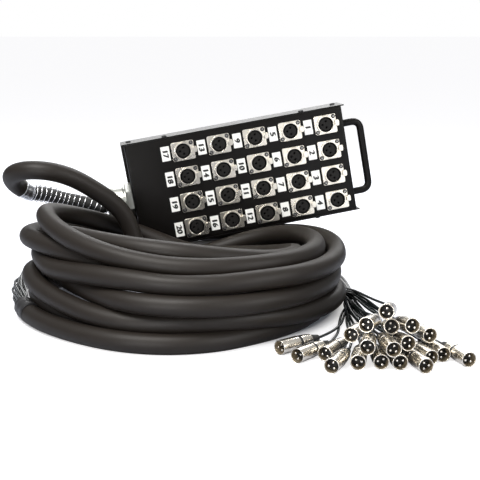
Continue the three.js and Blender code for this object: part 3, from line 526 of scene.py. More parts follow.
# Number labels: white paper stickers beside the sockets, printed black with plain numbers.
# The tops of the digits point to the handle, so the digits run down the panel.
LABEL_SHIFT, LABEL_WIDTH, LABEL_HEIGHT, LABEL_THICKNESS = 24.2, 11.8, 20, 0.16
DIGIT_HEIGHT, DIGIT_WIDTH_SHARE, DIGIT_PITCH = 7.0, 1.15, 6.0
STROKE_SHIFTS = (-0.8, -0.4, 0, 0.4, 0.8)
LABEL = material("label_white", (0.84, 0.84, 0.81), 0.5, bump=0.02, tone=0.02)
INK = material("label_ink", (0.010, 0.010, 0.010), 0.5, bump=0.0)


def digit_shape(digit, height):
    """One digit's outline as a thin solid, its height along +Y, centred."""
    text = bpy.data.curves.new("digit", "FONT")
    text.body = digit
    text.size = height / 0.69
    text.extrude = 0.03
    holder = bpy.data.objects.new("digit", text)
    bpy.context.scene.collection.objects.link(holder)
    graph = bpy.context.evaluated_depsgraph_get()
    mesh = bpy.data.meshes.new_from_object(holder.evaluated_get(graph))
    verts = np.array([v.co[:] for v in mesh.vertices])
    faces = [tuple(p.vertices) for p in mesh.polygons]
    bpy.data.objects.remove(holder)
    bpy.data.curves.remove(text)
    bpy.data.meshes.remove(mesh)
    return verts - (verts.min(0) + verts.max(0)) / 2, faces


DIGITS = {digit: digit_shape(digit, DIGIT_HEIGHT) for digit in "0123456789"}
labels, ink = Shape(), Shape()
sticker = plate([oblong(LABEL_WIDTH, LABEL_HEIGHT, 0.6)], LABEL_THICKNESS, 0.05, 1)
for number in range(1, SOCKETS + 1):
    x, z = socket_place(number)
    out = facing(x - LABEL_SHIFT, z + 0.2 * math.sin(7 * number))
    labels.add(sticker, move=out)
    word = str(number)
    for i, digit in enumerate(word):
        verts, faces = DIGITS[digit]
        for bold in STROKE_SHIFTS:
            across = DIGIT_WIDTH_SHARE * verts[:, 0] + DIGIT_PITCH * (i - (len(word) - 1) / 2) + bold
            raised = verts[:, 2] + LABEL_THICKNESS + 0.01 + bold / 40
            ink.add((np.stack([verts[:, 1] + bold / 2, -across, raised], 1), faces), move=out)
labels.make("number_labels", LABEL, "powder", turn=on_box)
ink.make("number_ink", INK, "powder", turn=on_box, sharp=20)

# Cable gland: a six-sided nut and a domed cap of pale nickel plated brass, at the left end wall.
# It is screwed through the wall and grips the many-core cable.
GLAND_LENGTH, GLAND_BELOW = 38.0, 5
PALE = material("pale_nickel", (0.62, 0.63, 0.59), 0.34, metal=1, grain=2500, bump=0.02, tone=0.03)
wall = -TRAY_LENGTH / 2


def gland_axis(x):
    """The gland's axis in the floor frame, at a place along the box."""
    return on_box([[x, BOX_DEPTH / 2, -GLAND_BELOW]])[0]


def along_axis(start, direction, roll=0.0):
    """Moves a shape drawn along +Z: it starts at a point and runs in a direction of the floor frame."""
    direction = np.array(direction, float) / np.linalg.norm(direction)
    side = np.cross([0, 0, 1], direction)
    side = side / np.linalg.norm(side) if np.linalg.norm(side) > 1e-6 else np.array([1.0, 0, 0])
    over = np.cross(direction, side)
    c, s = math.cos(math.radians(roll)), math.sin(math.radians(roll))
    axes = np.stack([c * side + s * over, c * over - s * side, direction])
    return lambda verts: np.asarray(verts, float) @ axes + np.array(start, float)


def six_sided(angles, height):
    """A circle's radius made a hexagon's: 1 / cos of the angle from the middle of the side."""
    return 1 / np.cos((angles + math.pi / 6) % (math.pi / 3) - math.pi / 6)


nut = lathe(rounded([(9.4, 0), (20.8, .3), (20.8, 10), (9.4, 10)], [0, 1.2, 1.6, 0], 4), 6 * 8, six_sided)
cap = [(9.4, 9.6), (20.2, 9.8), (20.2, 12), (21.8, 12.6), (21.8, 27), (19.5, GLAND_LENGTH - 2),
       (11.4, GLAND_LENGTH), (10.6, GLAND_LENGTH - 3)]
cap = lathe(rounded(cap, [0, .4, .4, .5, 5, 5, .8, 0], 6), 64)
gland_turn = along_axis(gland_axis(wall - SEAT), gland_axis(wall - 10) - gland_axis(wall), 8)
gland = Shape().add(nut).add(cap).make("gland", PALE, "nickel", turn=gland_turn)
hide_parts("gland_body")

# Ferrule: a bright plated steel collar with a bead at each end.
# It is pressed round the cable where the spring ends, and the free cable starts in it.
CABLE = 23.4
FERRULE = 15.5
FERRULE_SKIN = material("ferrule_plating", (0.80, 0.82, 0.86), 0.28, metal=1, bump=0.0, tone=0.02)
ferrule_end = np.array([-216.2, 105.1, 140])
ferrule_heading = np.array([-8, -9, 6]) / np.linalg.norm([-8, -9, 6])
ferrule_start = ferrule_end - FERRULE * ferrule_heading
ferrule = rounded([(8.9, 0), (12.0, 0), (12.3, 2.2), (11.9, 3), (11.9, 9.6), (12.4, 10.6), (12.5, FERRULE),
                   (11.0, FERRULE)], [0, .6, .5, .3, .3, .5, .8, 0], 4)
ferrule_turn = along_axis(ferrule_start, ferrule_heading)
ferrule = Shape().add(lathe(ferrule, 56)).make("ferrule_skin", FERRULE_SKIN, "chrome", turn=ferrule_turn)
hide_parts("ferrule")

# Strain relief: a chromed wire spring wound round the thinner, rubber covered start of the cable.
# It is held in the gland at one end and butts on the ferrule at the other, and bends with the cable.
SPRING_PITCH, SPRING_RADIUS, SPRING_WIRE, SPRING_GAP = 6.3, 11.0, 0.75, 0.9
END_TURNS, END_PITCHES = 1.2, 0.42
LINER_RADIUS = 9.6
CHROME = material("chrome", (0.86, 0.87, 0.89), 0.25, metal=1, bump=0.0, spread=0.06, tone=0.02)
BOOT = material("boot_rubber", (0.012, 0.012, 0.012), 0.55, grain=900, bump=0.1)


def eased(points, count):
    """A Catmull-Rom curve through 3-D points, spaced by the root of their distances and resampled evenly."""
    points = np.asarray(points, float)
    ends = np.vstack([2 * points[0] - points[1], points, 2 * points[-1] - points[-2]])
    knots = np.concatenate([[0], np.cumsum(np.linalg.norm(np.diff(ends, axis=0), axis=1) ** 0.5)])
    out = []
    for i in range(1, len(ends) - 2):
        t0, t1, t2, t3 = knots[i - 1:i + 3]
        t = np.linspace(t1, t2, 24, endpoint=False)[:, None]
        a1 = (t1 - t) / (t1 - t0) * ends[i - 1] + (t - t0) / (t1 - t0) * ends[i]
        a2 = (t2 - t) / (t2 - t1) * ends[i] + (t - t1) / (t2 - t1) * ends[i + 1]
        a3 = (t3 - t) / (t3 - t2) * ends[i + 1] + (t - t2) / (t3 - t2) * ends[i + 2]
        b1 = (t2 - t) / (t2 - t0) * a1 + (t - t0) / (t2 - t0) * a2
        b2 = (t3 - t) / (t3 - t1) * a2 + (t - t1) / (t3 - t1) * a3
        out.append((t2 - t) / (t2 - t1) * b1 + (t - t1) / (t2 - t1) * b2)
    out.append(points[-1:])
    return evenly(np.vstack(out), count)


strain_path = eased([
    gland_axis(wall + 20), gland_axis(wall), gland_axis(wall - GLAND_LENGTH / 2),
    gland_axis(wall - GLAND_LENGTH), (-118, 150, 106.5), (-132.3, 144, 112), (-148, 141, 116),
    (-166, 137.5, 120.5), (-184, 130, 127),
    ferrule_start, ferrule_end, ferrule_end + CABLE / 2 * ferrule_heading], 420)
strain_reach = np.concatenate([[0], np.cumsum(np.linalg.norm(np.diff(strain_path, axis=0), axis=1))])


def reach_at(point):
    """Distance along the strain relief's path to its point nearest to a given one."""
    return strain_reach[np.argmin(np.linalg.norm(strain_path - point, axis=1))]


def along_strain(values, at):
    """Rows that belong to the path's points, read at distances along it."""
    return np.stack([np.interp(at, strain_reach, values[:, axis]) for axis in range(3)], 1)


spring_from = reach_at(gland_axis(wall - GLAND_LENGTH)) + SPRING_GAP
spring_to = reach_at(ferrule_start) - SPRING_GAP
_, strain_across, strain_over = frames_along(strain_path)
coils = round((spring_to - spring_from) / SPRING_PITCH)
steps = np.linspace(0, 1, coils * 36 + 1)
# Wire = axis + radius (cos a across + sin a over), a = 2 pi coils u; at both ends the coils close up
ease = np.interp(steps, [0, END_TURNS / coils, 1 - END_TURNS / coils, 1],
                 [0, END_PITCHES / coils, 1 - END_PITCHES / coils, 1])
at = spring_from + (spring_to - spring_from) * ease
angle = (2 * math.pi * coils * steps)[:, None]
ring = along_strain(strain_across, at) * np.cos(angle) + along_strain(strain_over, at) * np.sin(angle)
wire = along_strain(strain_path, at) + SPRING_RADIUS * ring
spring = Shape().add(tube(wire, SPRING_WIRE, 8)).make("spring_wire", CHROME, "chrome", sharp=80)
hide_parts("spring")
Shape().add(tube(strain_path[::3], LINER_RADIUS, 28)).make("cable_under_spring", BOOT, "jacket", sharp=70)

# Many-core cable: one unbroken jacket of matt black rubber, extruded round twenty pairs of wires. It leaves
# the ferrule at the far left, falls into the coil, lies in nine turns that climb over each other and ends in
# the sleeve. Each line of the table is one turn from the left round the front, in eighths, as the shares of
# the coil's radius by which the cable lies out from the middle and up from the floor.
COIL_RADIUS, STEPS, GAP = 200.0, 24, 0.9
ROWS_BETWEEN = 3
PASSES, EASED_PASSES, GIVE_SHARE = 400, 340, 0.45
JACKET_SWELL = 0.25
JACKET = material("jacket", (0.0135, 0.0104, 0.0080), 0.5, grain=700, bump=0.12, spread=0.16, tone=0.1,
                  shine=0.3)
TURN_SHARES = np.array([
    (.985, .05), (.92, .05), (1.03, .05), (.88, .05), (.89, .05), (.94, .05), (.98, .05), (1.015, .05),
    (.905, .14), (.8, .06), (.9, .05), (.755, .05), (.765, .05), (.81, .05), (.855, .05), (.91, .13),
    (.93, .27), (.885, .2), (.95, .155), (.97, .15), (1, .125), (.93, .16), (.775, .17), (.75, .2),
    (.77, .28), (.76, .29), (1.02, .27), (1, .26), (.95, .25), (1.08, .255), (1.045, .165), (1.02, .26),
    (.87, .385), (.81, .37), (.95, .37), (1.005, .38), (.98, .37), (1.115, .35), (1.15, .27), (1.07, .39),
    (.95, .47), (.73, .43), (.82, .325), (.86, .3), (.84, .29), (.96, .29), (.92, .165), (.89, .34),
    (.83, .52), (.67, .54), (.74, .525), (.76, .43), (.73, .37), (.69, .25), (.54, .25), (.76, .47),
    (.825, .63), (.78, .545), (.84, .45), (.91, .445), (.85, .43), (.88, .38), (.645, .17), (.715, .325),
    (.7, .49), (.54, .44), (.58, .39), (.63, .32), (.61, .25), (.54, .17), (.46, .12)])
TURNS = TURN_SHARES * COIL_RADIUS


def clear_of_box(pairs, angles):
    """A turn passes under, before or behind the box, whichever is nearest."""
    out, up = pairs[:, 0], pairs[:, 1]
    x, y = out * np.cos(angles), out * np.sin(angles)
    room, yaw, roll = 0.65 * CABLE, math.radians(BOX_YAW), math.radians(BOX_ROLL)
    along = x - BOX_CENTRE[0]
    front = BOX_CENTRE[1] + along * math.tan(yaw) - room
    back = front + BOX_DEPTH / math.cos(yaw) + 2 * room
    under = BOX_CENTRE[2] - BOX_HEIGHT / 2 / math.cos(roll) + along * math.tan(roll) - room
    inside = (along > -BOX_LENGTH / 2 - room) & (y > front) & (y < back) & (up > under)
    rise = np.maximum(np.sin(angles), 0.1)
    down, inward, outward = up - under, (y - front) / rise, (back - y) / rise
    least = np.minimum(down, np.minimum(inward, outward))
    out = np.where(inside & (least == inward), out - inward, out)
    out = np.where(inside & (least == outward) & (least != inward), out + outward, out)
    up = np.where(inside & (least == down), under, up)
    return np.stack([out, up], 1)


def between_rows(rows, at):
    """Catmull-Rom curve through the rows of a table, read at places between their numbers."""
    here = np.minimum(at.astype(int), len(rows) - 2)
    share = (at - here)[:, None]
    before, now, after, far = [rows[np.clip(here + step, 0, len(rows) - 1)] for step in (-1, 0, 1, 2)]
    return (2 * now + (after - before + (2 * before - 5 * now + 4 * after - far
            + (3 * now - before - 3 * after + far) * share) * share) * share) / 2


def settled_turns():
    """The turns start from the table, are pushed a cable apart and are eased along their length."""
    count = (len(TURNS) - 1) * ROWS_BETWEEN + 1
    aim = between_rows(TURNS, np.arange(count) / ROWS_BETWEEN)
    angles = math.pi + 2 * math.pi * np.arange(count) / STEPS
    turns = aim.copy()
    for turn in range(PASSES):
        push = np.zeros_like(turns)
        for gap in range(STEPS, count, STEPS):
            apart = turns[:-gap] - turns[gap:]
            size = np.linalg.norm(apart, axis=1)[:, None]
            move = apart / size * np.maximum(0, CABLE + GAP - size) * GIVE_SHARE
            push[:-gap] += move
            push[gap:] -= move
        turns = turns + push
        if turn < EASED_PASSES:
            smooth = turns.copy()
            smooth[1:-1] = turns[:-2] / 4 + turns[1:-1] / 2 + turns[2:] / 4
            turns = turns + 0.12 * (smooth - turns) + 0.06 * (aim - turns)
        turns[:, 1] = np.maximum(turns[:, 1], 0.4 * CABLE)
        turns = clear_of_box(turns, angles)
    return turns, angles


def finer(turns, angles, parts):
    """Radius and height follow a smooth curve in the angle, so that each turn is round."""
    at = np.arange((len(turns) - 1) * parts + 1) / parts
    pairs = between_rows(turns, at)
    angle = np.interp(at, np.arange(len(angles)), angles)
    return np.stack([pairs[:, 0] * np.cos(angle), pairs[:, 0] * np.sin(angle), pairs[:, 1]], 1)


def length_of(path):
    """Sum of the distances from point to point."""
    return float(np.linalg.norm(np.diff(path, axis=0), axis=1).sum())


def jacket_lump(ring, angles):
    """The cores inside show faintly: 0.12 sin(3 a + s / 30) + 0.1 sin(s / 57), a ring every 4.5 mm."""
    return 0.12 * np.sin(3 * angles + ring * 4.5 / 30) + 0.1 * np.sin(ring * 4.5 / 57) + 0 * angles


coil_path = finer(*settled_turns(), 10)
coil_path[:, 2] = np.maximum(coil_path[:, 2], CABLE / 2)
coil_end = coil_path[-1]
coil_heading = (coil_path[-1] - coil_path[-4]) / np.linalg.norm(coil_path[-1] - coil_path[-4])
lead_path = eased([
    ferrule_end - 2 * ferrule_heading, ferrule_end + 9 * ferrule_heading, (-222, 94, 147.5),
    (-224, 78, 156.5), (-217, 60, 165.5), (-201, 46, 171.5), (-180, 41, 172.5), (-158, 45, 168.5),
    (-135.5, 55, 158.5), (-113.5, 67, 143), (-97, 76, 130), (-83, 83, 115.5), (-73, 87, 99), (-66.5, 89, 80),
    (-62, 90, 64), (-54, 90, 49), (-42, 90, 36), coil_end + 0.8 * CABLE * coil_heading, coil_end], 96)
whole_cable = np.vstack([lead_path[:-1], coil_path[::-1]])
whole_cable = evenly(whole_cable, int(length_of(whole_cable) / 4.5))
for _ in range(6):
    whole_cable[1:-1] = (whole_cable[:-2] + 2 * whole_cable[1:-1] + whole_cable[2:]) / 4
cable_path = whole_cable[:-15]
cable = Shape().add(tube(cable_path, CABLE / 2 + JACKET_SWELL, 28, lump=jacket_lump))
cable = cable.make("multicore", JACKET, "jacket", sharp=70)
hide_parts("lead", "coil")

# Breakout sleeve: a black adhesive tube, shrunk with heat over the cable's end and the start of the tails.
# It is ribbed a little where the tails push through.
SLEEVE_RADIUS, SLEEVE_RINGS = 12.5, 40
MOULDED = material("moulded_black", (0.014, 0.014, 0.015), 0.45, grain=1200, bump=0.08)


def tails_show(ring, angles):
    """Ribs of 0.2 sin(9 a + ring / 4), fading in over the last rings."""
    return 0.2 * np.sin(9 * angles + ring / 4) * np.clip((ring - 14) / 20, 0, 1)


sleeve_path = evenly(whole_cable[-18:-8], SLEEVE_RINGS)
sleeve_heading = (sleeve_path[-1] - sleeve_path[-8]) / np.linalg.norm(sleeve_path[-1] - sleeve_path[-8])
sleeve_path[:, 2] = np.maximum(sleeve_path[:, 2], 12.7)
sleeve_radius = SLEEVE_RADIUS + 0.25 * np.sin(np.linspace(0, 14, SLEEVE_RINGS))
sleeve_radius += np.interp(np.arange(SLEEVE_RINGS), [0, 2, 36, 39], [-0.2, 0.2, 0.1, -0.6])
sleeve = Shape().add(tube(sleeve_path, sleeve_radius, 40, lump=tails_show))
sleeve = sleeve.make("breakout_sleeve_skin", MOULDED, "moulded")
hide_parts("breakout_sleeve")

# Plugs: a bright nickel barrel with three pins in a cup with a black floor and an inside wall in painted
# shade, a dark collar, a rear shell and a ribbed rubber boot, screwed together round the tail's end. They lie
# in a heap on the floor at the right.
# Each row is the ring's middle, the heading of the body in degrees and how far it dips.
PLUGS = {
    1: (120, -204, 8.5, 42, 0), 2: (138, -235, 8.5, 53, 0), 3: (168, -228, 8.5, 62, 0),
    4: (172, -272, 8.5, 68.5, 0), 5: (201, -260, 8.5, 82.2, 0), 6: (197.6, -212, 25.1, 69, 4),
    7: (212.2, -227, 40.6, 70.2, 7.1), 8: (232.7, -234, 57.1, 76.9, 9.5), 9: (239.4, -230, 39.8, 89.4, 14.5),
    10: (211, -254, 23.4, 80.9, 1.8), 11: (237.7, -264, 23.9, 97.2, 1.3), 12: (225.7, -258, 8.5, 91.1, 0),
    13: (245.4, -260, 8.5, 95.9, 0), 14: (262, -228, 40, 100.9, 10), 15: (255.8, -243, 24.7, 100.6, 7.7),
    16: (283.8, -213, 25, 105.2, 4.5), 17: (270.7, -272, 8.5, 104.3, 0), 18: (281, -242, 8.5, 107, 0),
    19: (295.8, -231, 8.5, 105.5, 0), 20: (320, -249, 8.5, 107, 0)}
ROLLS = {1: 20, 2: 64, 3: 12, 4: 140, 5: 78, 6: 200, 7: 30, 8: 8, 9: 100, 10: 170, 11: 250, 12: 40, 13: 300,
         14: 12, 15: 155, 16: 60, 17: 210, 18: 95, 19: 330, 20: 15}
# The CAD part holds two plugs in a node: the node's name under the first plug of each two
PAIRS = {1: "plugs_01_02", 3: "plugs_03_04", 5: "plugs_05_12", 13: "plugs_13_17", 18: "plugs_18_19",
         16: "plugs_16_20", 6: "plugs_06_10", 7: "plugs_07_09", 8: "plugs_08_14", 11: "plugs_11_15"}
PLUG_RADIUS, BARREL, NECK, SHELL, BOOT_LENGTH = 8.5, 27.0, 4.0, 16.0, 14.0
BORE, CUP_DEPTH = 7.55, 11
PIN_CIRCLE, PIN_RADIUS, PIN_TURNS = 3.6, 1.2, (90, 210, 330)
BOOT_RIBS, RIB_PITCH = 5, 2.2
REAR = BARREL + NECK
BOOT_START = REAR + SHELL
PLUG_LENGTH = BOOT_START + BOOT_LENGTH
BRIGHT = material("bright_nickel", (0.82, 0.77, 0.68), 0.25, metal=1, bump=0.0, spread=0.04, tone=0.03)
# The cup's inside wall is a darker, duller copy of the nickel, laid just inside the bright bore: painted
# shade.
BORE_SHADE_NICKEL = material("bore_nickel_painted_shade", (0.55, 0.47, 0.34), 0.48, metal=0.8, bump=0.0, tone=0.05)
PIN = material("pin", (0.88, 0.84, 0.76), 0.18, metal=1, bump=0.0, tone=0.02)
numbers = list(PLUGS)


def plug_axis(number):
    """Ring's middle and the direction of the body, in the floor frame."""
    x, y, z, heading, dip = PLUGS[number]
    turn = turn_about("Z", heading) @ turn_about("Y", dip)
    return np.array([x, y, z]), turn[:, 0]


def plug_shapes():
    """Profiles are (radius, distance from the ring); the body runs along +Z, away from the open end."""
    front = [(BORE, CUP_DEPTH + .5), (BORE, 0), (PLUG_RADIUS, 0), (PLUG_RADIUS, BARREL), (7.4, BARREL),
             (7.4, BARREL - 1)]
    shell = Shape().add(lathe(rounded(front, [0, .35, .45, .5, .3, 0], 4), 48))
    shell.add(block((-1.6, -8.75, 2.5), (1.6, -8.3, 7.5), 0.1))
    rear = [(7.2, REAR + .6), (7.2, REAR), (8.1, REAR), (8.0, REAR + 4), (6.8, BOOT_START), (5.0, BOOT_START)]
    shell.add(lathe(rounded(rear, [0, .2, .5, 1.5, .6, 0], 4), 40))
    ring = [(6.5, BARREL - .4), (7.9, BARREL - .1), (8.05, REAR + .2), (6.5, REAR + .5)]
    collar = Shape().add(lathe(rounded(ring, [0, .5, .5, 0], 3), 40, lambda a, h: 1 + 0.006 * np.cos(20 * a)))
    cup = Shape().add(lathe([(0, CUP_DEPTH), (BORE - .03, CUP_DEPTH)], 40))
    cup.add(lathe([(BORE - .03, CUP_DEPTH), (BORE - .03, .5)], 40), spot=True)
    pin = rounded([(0, 1.6), (PIN_RADIUS - .05, 1.6), (PIN_RADIUS, CUP_DEPTH + .3)], [0, 1.1, 0], 5)
    pins = Shape()
    for turn in PIN_TURNS:
        pins.add(lathe(pin, 16), move=lambda v, spot=about(PIN_CIRCLE, turn): v + spot)
    steps = [(5.2, BOOT_START - 1.5), (5.9, BOOT_START - .2), (5.7, BOOT_START + 1.5)]
    for rib in range(BOOT_RIBS):
        at, body = BOOT_START + 2.6 + rib * RIB_PITCH, 5.4 - rib * 0.42
        steps += [(body - .35, at), (body - .3, at + .5), (body, at + .8), (body - .1, at + 1.7)]
    steps += [(3.0, PLUG_LENGTH), (2.3, PLUG_LENGTH + .2)]
    boot = Shape().add(lathe(rounded(steps, 0.25, 2), 28))
    return {"shell": (shell, BRIGHT, "nickel"), "collar": (collar, MOULDED, "moulded"),
            "cup": (cup, INSULATOR_AND_SHADE, "moulded"), "pins": (pins, PIN, "nickel"), "boot": (boot, BOOT, "moulded")}


plug_parts = {}
for n in numbers:
    seat_plug = along_axis(*plug_axis(n), ROLLS[n])
    plug_parts[n] = []
    for word, (shape, skin, slot) in plug_shapes().items():
        # The cup's wall takes the darker copy of the nickel: painted shade.
        second = BORE_SHADE_NICKEL if word == "cup" else None
        plug_parts[n].append(shape.make(f"plug_{n:02d}_{word}", skin, slot, turn=seat_plug, second=second))
    if n in PAIRS:
        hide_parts(PAIRS[n])

# Tails: twenty thin cables with smooth black jackets, each soldered to its own plug.
# They leave the sleeve as a bundle with a slow lay, run round the back of the coil and fan out at the right.
TAIL, TAIL_RINGS = 3.2, 230
LAY_LENGTH = 700
INNER_RING, OUTER_RING, IN_INNER, IN_OUTER = 3.5, 7.1, 6, 13
FAN, FIRM_PASSES, SMOOTH_PASSES = 48, 160, 140
STRAND_GAP, POST_GAP, POSTS = 0.35, 0.5, 16
GATE_LEFT, GATE_BACK, GATE_LOW, GATE_WIDTH, GATE_RISE, GATE_MIDDLE = 208, -8, 4, 11, 22, 212
TAILS = material("tail_jacket", (0.009, 0.013, 0.012), 0.26, grain=900, bump=0.05, spread=0.12, tone=0.2)

fan_face = np.array([214.0, 46, 9.5])
fan_heading = np.array([0.0, -1, 0])
bundle_path = eased([
    sleeve_path[-1] - 6 * sleeve_heading, sleeve_path[-1] + 14 * sleeve_heading, (-211, 40, 11.5),
    (-218, 85, 11), (-220, 135, 10), (-214, 185, 9), (-182, 232, 9), (-90, 268, 9), (10, 279, 9),
    (110, 258, 9), (180, 196, 9), (208, 124, 9), fan_face - 30 * fan_heading, fan_face], 160)
bundle_path[:, 2] = np.maximum(bundle_path[:, 2], 8.9)
bundle_reach = length_of(bundle_path)

# They lie in three rings in the bundle, and each goes to the plug that its place suits best
ring_slots = [(0.0, 0.0)]
ring_slots += [about(INNER_RING, 360 * i / IN_INNER)[:2] for i in range(IN_INNER)]
ring_slots += [about(OUTER_RING, 360 * (i + 0.3) / IN_OUTER)[:2] for i in range(IN_OUTER)]
ring_slots = np.array(ring_slots)
boots = {n: plug_axis(n)[0] + PLUG_LENGTH * plug_axis(n)[1] for n in numbers}
want = np.array([[(boots[n][0] - 235) / 9, (boots[n][2] - 20) / 3.4] for n in numbers])
order = list(range(len(numbers)))
cost = np.linalg.norm(want[:, None] - ring_slots[None], axis=2) ** 2
for _ in range(40):
    for i in range(len(order)):
        for j in range(i + 1, len(order)):
            if cost[i, order[j]] + cost[j, order[i]] < cost[i, order[i]] + cost[j, order[j]] - 1e-9:
                order[i], order[j] = order[j], order[i]


def strand_in_bundle(slot, seed):
    """Point = axis + slot turned by the lay angle, 0 at the fan; the slots loosen and tighten on the way."""
    tangents = np.gradient(bundle_path, axis=0)
    tangents /= np.linalg.norm(tangents, axis=1)[:, None]
    across = np.cross(tangents, [0, 0, 1])
    across /= np.linalg.norm(across, axis=1)[:, None]
    over = np.cross(across, tangents)
    share = np.linspace(0, 1, len(bundle_path))
    angle = (share - 1) * bundle_reach / LAY_LENGTH * 2 * math.pi
    held = np.clip(share * 12, 0, 1) * np.clip((1 - share) * 12, 0, 1)
    loose = 1.12 + 0.24 * np.sin(share * 31 + seed * 1.7) * held
    a = (slot[0] * np.cos(angle) - slot[1] * np.sin(angle)) * loose
    b = (slot[0] * np.sin(angle) + slot[1] * np.cos(angle)) * loose
    strand = bundle_path + across * a[:, None] + over * b[:, None]
    strand[:, 2] = np.maximum(strand[:, 2], TAIL / 2)
    return strand


# Beside the coil they come loose: each passes a gate, the lower ones under the coil's edge, and sags
strands = {n: strand_in_bundle(ring_slots[order[i]], n) for i, n in enumerate(numbers)}
bearing = {n: math.atan2(boots[n][0] - GATE_MIDDLE, GATE_BACK - boots[n][1]) + 0.01 * boots[n][2]
           for n in numbers}
rank = {n: i / (len(numbers) - 1) for i, n in enumerate(sorted(numbers, key=bearing.get))}
fans = []
for n in numbers:
    start, (_, along), s = strands[n][-1], plug_axis(n), rank[n]
    gate = np.array([GATE_LEFT + GATE_WIDTH * s + 2.5 * math.sin(2.4 * n), GATE_BACK,
                     GATE_LOW + GATE_RISE * s + 2 * math.sin(5.1 * n)])
    between = (gate + boots[n] + 22 * along) / 2
    between[0] += 5 * math.sin(1.7 * n)
    between[2] = max(TAIL / 2, between[2] - 7 + 3 * math.sin(3.3 * n))
    route = [start, start + 18 * fan_heading, gate, between, boots[n] + 16 * along, boots[n] - 2 * along]
    fans.append(eased(route, FAN))
fans = np.array(fans)

# Posts stand for the plugs and for the coil's strands beside the fan; the tails are pushed off them
owner = np.repeat(np.arange(len(numbers)), FAN)
posts = np.array([plug_axis(n)[0] + plug_axis(n)[1] * PLUG_LENGTH * s
                  for n in numbers for s in np.linspace(0, 1, POSTS)])
post_owner = np.repeat(np.arange(len(numbers)), POSTS)
post_radius = np.tile([PLUG_RADIUS] * 9 + [7.6] * 3 + [5.6, 5.2, 4.4, 3.6], len(numbers))
near = cable_path[(cable_path[:, 0] > 150) & (np.abs(cable_path[:, 1]) < 130) & (cable_path[:, 2] < 70)]
posts = np.vstack([posts, near])
post_owner = np.concatenate([post_owner, np.full(len(near), -1)])
post_radius = np.concatenate([post_radius, np.full(len(near), CABLE / 2 + 0.3)])


def pushed_off(points, others, apart, clear):
    """Sum over the others of the unit vector away from each, times what is missing of the clear distance."""
    gap = points[:, None] - others[None]
    size = np.linalg.norm(gap, axis=2) + 1e-6
    short = np.where(apart & (size < clear), clear - size, 0)
    return (gap / size[..., None] * short[..., None]).sum(1)


for turn in range(FIRM_PASSES):
    flat = fans.reshape(-1, 3)
    push = pushed_off(flat, flat, owner[:, None] != owner[None], TAIL + STRAND_GAP) * 0.4
    room = post_radius[None] + TAIL / 2 + POST_GAP
    push += pushed_off(flat, posts, owner[:, None] != post_owner[None], room) * 0.7
    push = np.clip(push, -2, 2).reshape(fans.shape)
    push[:, :2] = 0
    push[:, -2:] = 0
    fans = fans + push
    if turn < SMOOTH_PASSES:
        smooth = (fans[:, :-2] + fans[:, 2:]) / 2
        fans[:, 2:-2] += 0.35 * (smooth[:, 1:-1] - fans[:, 2:-2])
    fans[:, 1:-1, 2] = np.maximum(fans[:, 1:-1, 2], TAIL / 2)
for i, n in enumerate(numbers):
    path = evenly(np.vstack([strands[n][:-1], fans[i]]), TAIL_RINGS)
    for _ in range(3):
        path[1:-1] = (path[:-2] + 2 * path[1:-1] + path[2:]) / 4
    Shape().add(tube(path, TAIL / 2, 12)).make(f"tail_{n:02d}", TAILS, "tails", sharp=70)
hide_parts("tail_bundle")

# Floor: a smooth white table top. It is raised to white for the camera, but not in a disc inside the coil,
# where the glow is masked off to paint shade.
PAINTED_SHADE_WITHIN, WHITE_FROM, WHITE_RAISE = 0.193, 0.212, 0.74
floor_z = float(place([0, 0, 0])[2])
bpy.ops.mesh.primitive_plane_add(size=40, location=(0, 0, floor_z))
floor = bpy.context.object
floor.name = "floor"
pale = bpy.data.materials.new("floor")
pale.use_nodes = True
ground = pale.node_tree.nodes["Principled BSDF"]
ground.inputs["Base Color"].default_value = (0.46, 0.48, 0.54, 1)
ground.inputs["Roughness"].default_value = 0.9
ground.inputs["Specular IOR Level"].default_value = 0.1
ground.inputs["Emission Color"].default_value = (1, 0.985, 0.965, 1)
nodes, links = pale.node_tree.nodes, pale.node_tree.links
seen_by, where, away, rise, raised = (nodes.new("ShaderNode" + kind) for kind in (
    "LightPath", "TexCoord", "VectorMath", "MapRange", "Math"))
away.operation = "DISTANCE"
away.inputs[1].default_value = tuple(place([0, 20, 0]) - [0, 0, floor_z])
rise.inputs["From Min"].default_value = PAINTED_SHADE_WITHIN
rise.inputs["From Max"].default_value = WHITE_FROM
rise.inputs["To Max"].default_value = WHITE_RAISE
raised.operation = "MULTIPLY"
links.new(where.outputs["Object"], away.inputs[0])
links.new(away.outputs["Value"], rise.inputs["Value"])
links.new(rise.outputs["Result"], raised.inputs[0])
links.new(seen_by.outputs["Is Camera Ray"], raised.inputs[1])
links.new(raised.outputs[0], ground.inputs["Emission Strength"])
floor.data.materials.append(pale)

# World: plain white to the camera. Other rays see a dim horizon, grey below and a bright sky, which gives
# the metal its dark and light bands.
SKY_STRENGTH = 0.54
world = bpy.data.worlds.new("world")
bpy.context.scene.world = world
world.use_nodes = True
nodes, links = world.node_tree.nodes, world.node_tree.links
nodes.clear()
out = nodes.new("ShaderNodeOutputWorld")
seen, lit, pick, ray = (nodes.new(kind) for kind in (
    "ShaderNodeBackground", "ShaderNodeBackground", "ShaderNodeMixShader", "ShaderNodeLightPath"))
seen.inputs["Color"].default_value = (1, 1, 1, 1)
seen.inputs["Strength"].default_value = 1.0
facing_way = nodes.new("ShaderNodeNewGeometry")
split = nodes.new("ShaderNodeSeparateXYZ")
ramp = nodes.new("ShaderNodeValToRGB")
height = nodes.new("ShaderNodeMapRange")
height.inputs["From Min"].default_value = 1.0
height.inputs["From Max"].default_value = -1.0
links.new(facing_way.outputs["Incoming"], split.inputs["Vector"])
links.new(split.outputs["Z"], height.inputs["Value"])
links.new(height.outputs["Result"], ramp.inputs["Fac"])
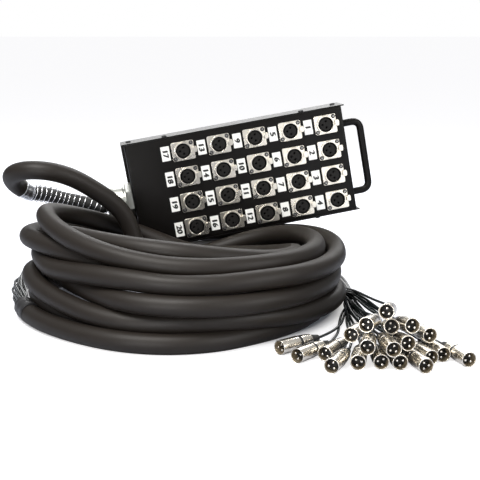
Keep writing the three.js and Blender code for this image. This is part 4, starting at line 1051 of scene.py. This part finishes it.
ramp.color_ramp.elements[0].color = (0.5, 0.5, 0.5, 1)
ramp.color_ramp.elements[1].color = (1, 1, 1, 1)
ramp.color_ramp.elements.new(0.5).color = (0.16, 0.16, 0.16, 1)
ramp.color_ramp.elements.new(0.6).color = (0.30, 0.30, 0.30, 1)
ramp.color_ramp.elements.new(0.74).color = (0.9, 0.9, 0.91, 1)
links.new(ramp.outputs["Color"], lit.inputs["Color"])
lit.inputs["Strength"].default_value = SKY_STRENGTH
links.new(ray.outputs["Is Camera Ray"], pick.inputs["Fac"])
links.new(lit.outputs[0], pick.inputs[1])
links.new(seen.outputs[0], pick.inputs[2])
links.new(pick.outputs[0], out.inputs["Surface"])


# Lamps: a large soft key from the upper left, a fill from the right, two rims from behind, and two low
# lights in front, mostly for the metal.
def softbox(name, at, aim, size, power, colour=(1, 1, 1)):
    """A rectangular area light at one floor-frame point, aimed at another, that the camera does not see."""
    lamp = bpy.data.objects.new(name, bpy.data.lights.new(name, "AREA"))
    bpy.context.scene.collection.objects.link(lamp)
    lamp.data.shape = "RECTANGLE"
    lamp.data.size, lamp.data.size_y = size[0] / 1000, size[1] / 1000
    lamp.data.energy = power
    lamp.data.color = colour
    lamp.location = place(at)
    way = Vector(place(aim) - place(at))
    lamp.rotation_euler = way.to_track_quat("-Z", "Y").to_euler()
    lamp.visible_camera = False


softbox("key", (-500, -700, 1500), (40, 20, 80), (800, 800), 31, (1, 0.98, 0.95))
softbox("fill", (1300, -900, 700), (60, 0, 80), (900, 700), 10)
softbox("rim", (200, 1300, 1300), (60, 60, 100), (1600, 500), 16)
softbox("back", (100, 1500, 480), (60, 60, 150), (1500, 400), 5)
softbox("front", (-500, -1300, 250), (100, -100, 60), (500, 400), 7)
softbox("glint", (525, -690, 150), (200, 169, 170), (300, 280), 0.5)

# Camera: a long lens, 1.4 m before the coil and 37 cm above the floor, looking down by 11 degrees
CAMERA_DOWN = 11
camera = bpy.data.objects.new("camera", bpy.data.cameras.new("camera"))
bpy.context.scene.collection.objects.link(camera)
bpy.context.scene.camera = camera
camera.data.sensor_width = 36
camera.data.lens = 86.25
camera.data.clip_end = 50
camera.location = place([76.8, -1421.5, 365.7])
camera.rotation_euler = (math.radians(90 - CAMERA_DOWN), 0, 0)

bpy.context.scene.view_settings.view_transform = "Standard"
bpy.context.scene.view_settings.look = "None"
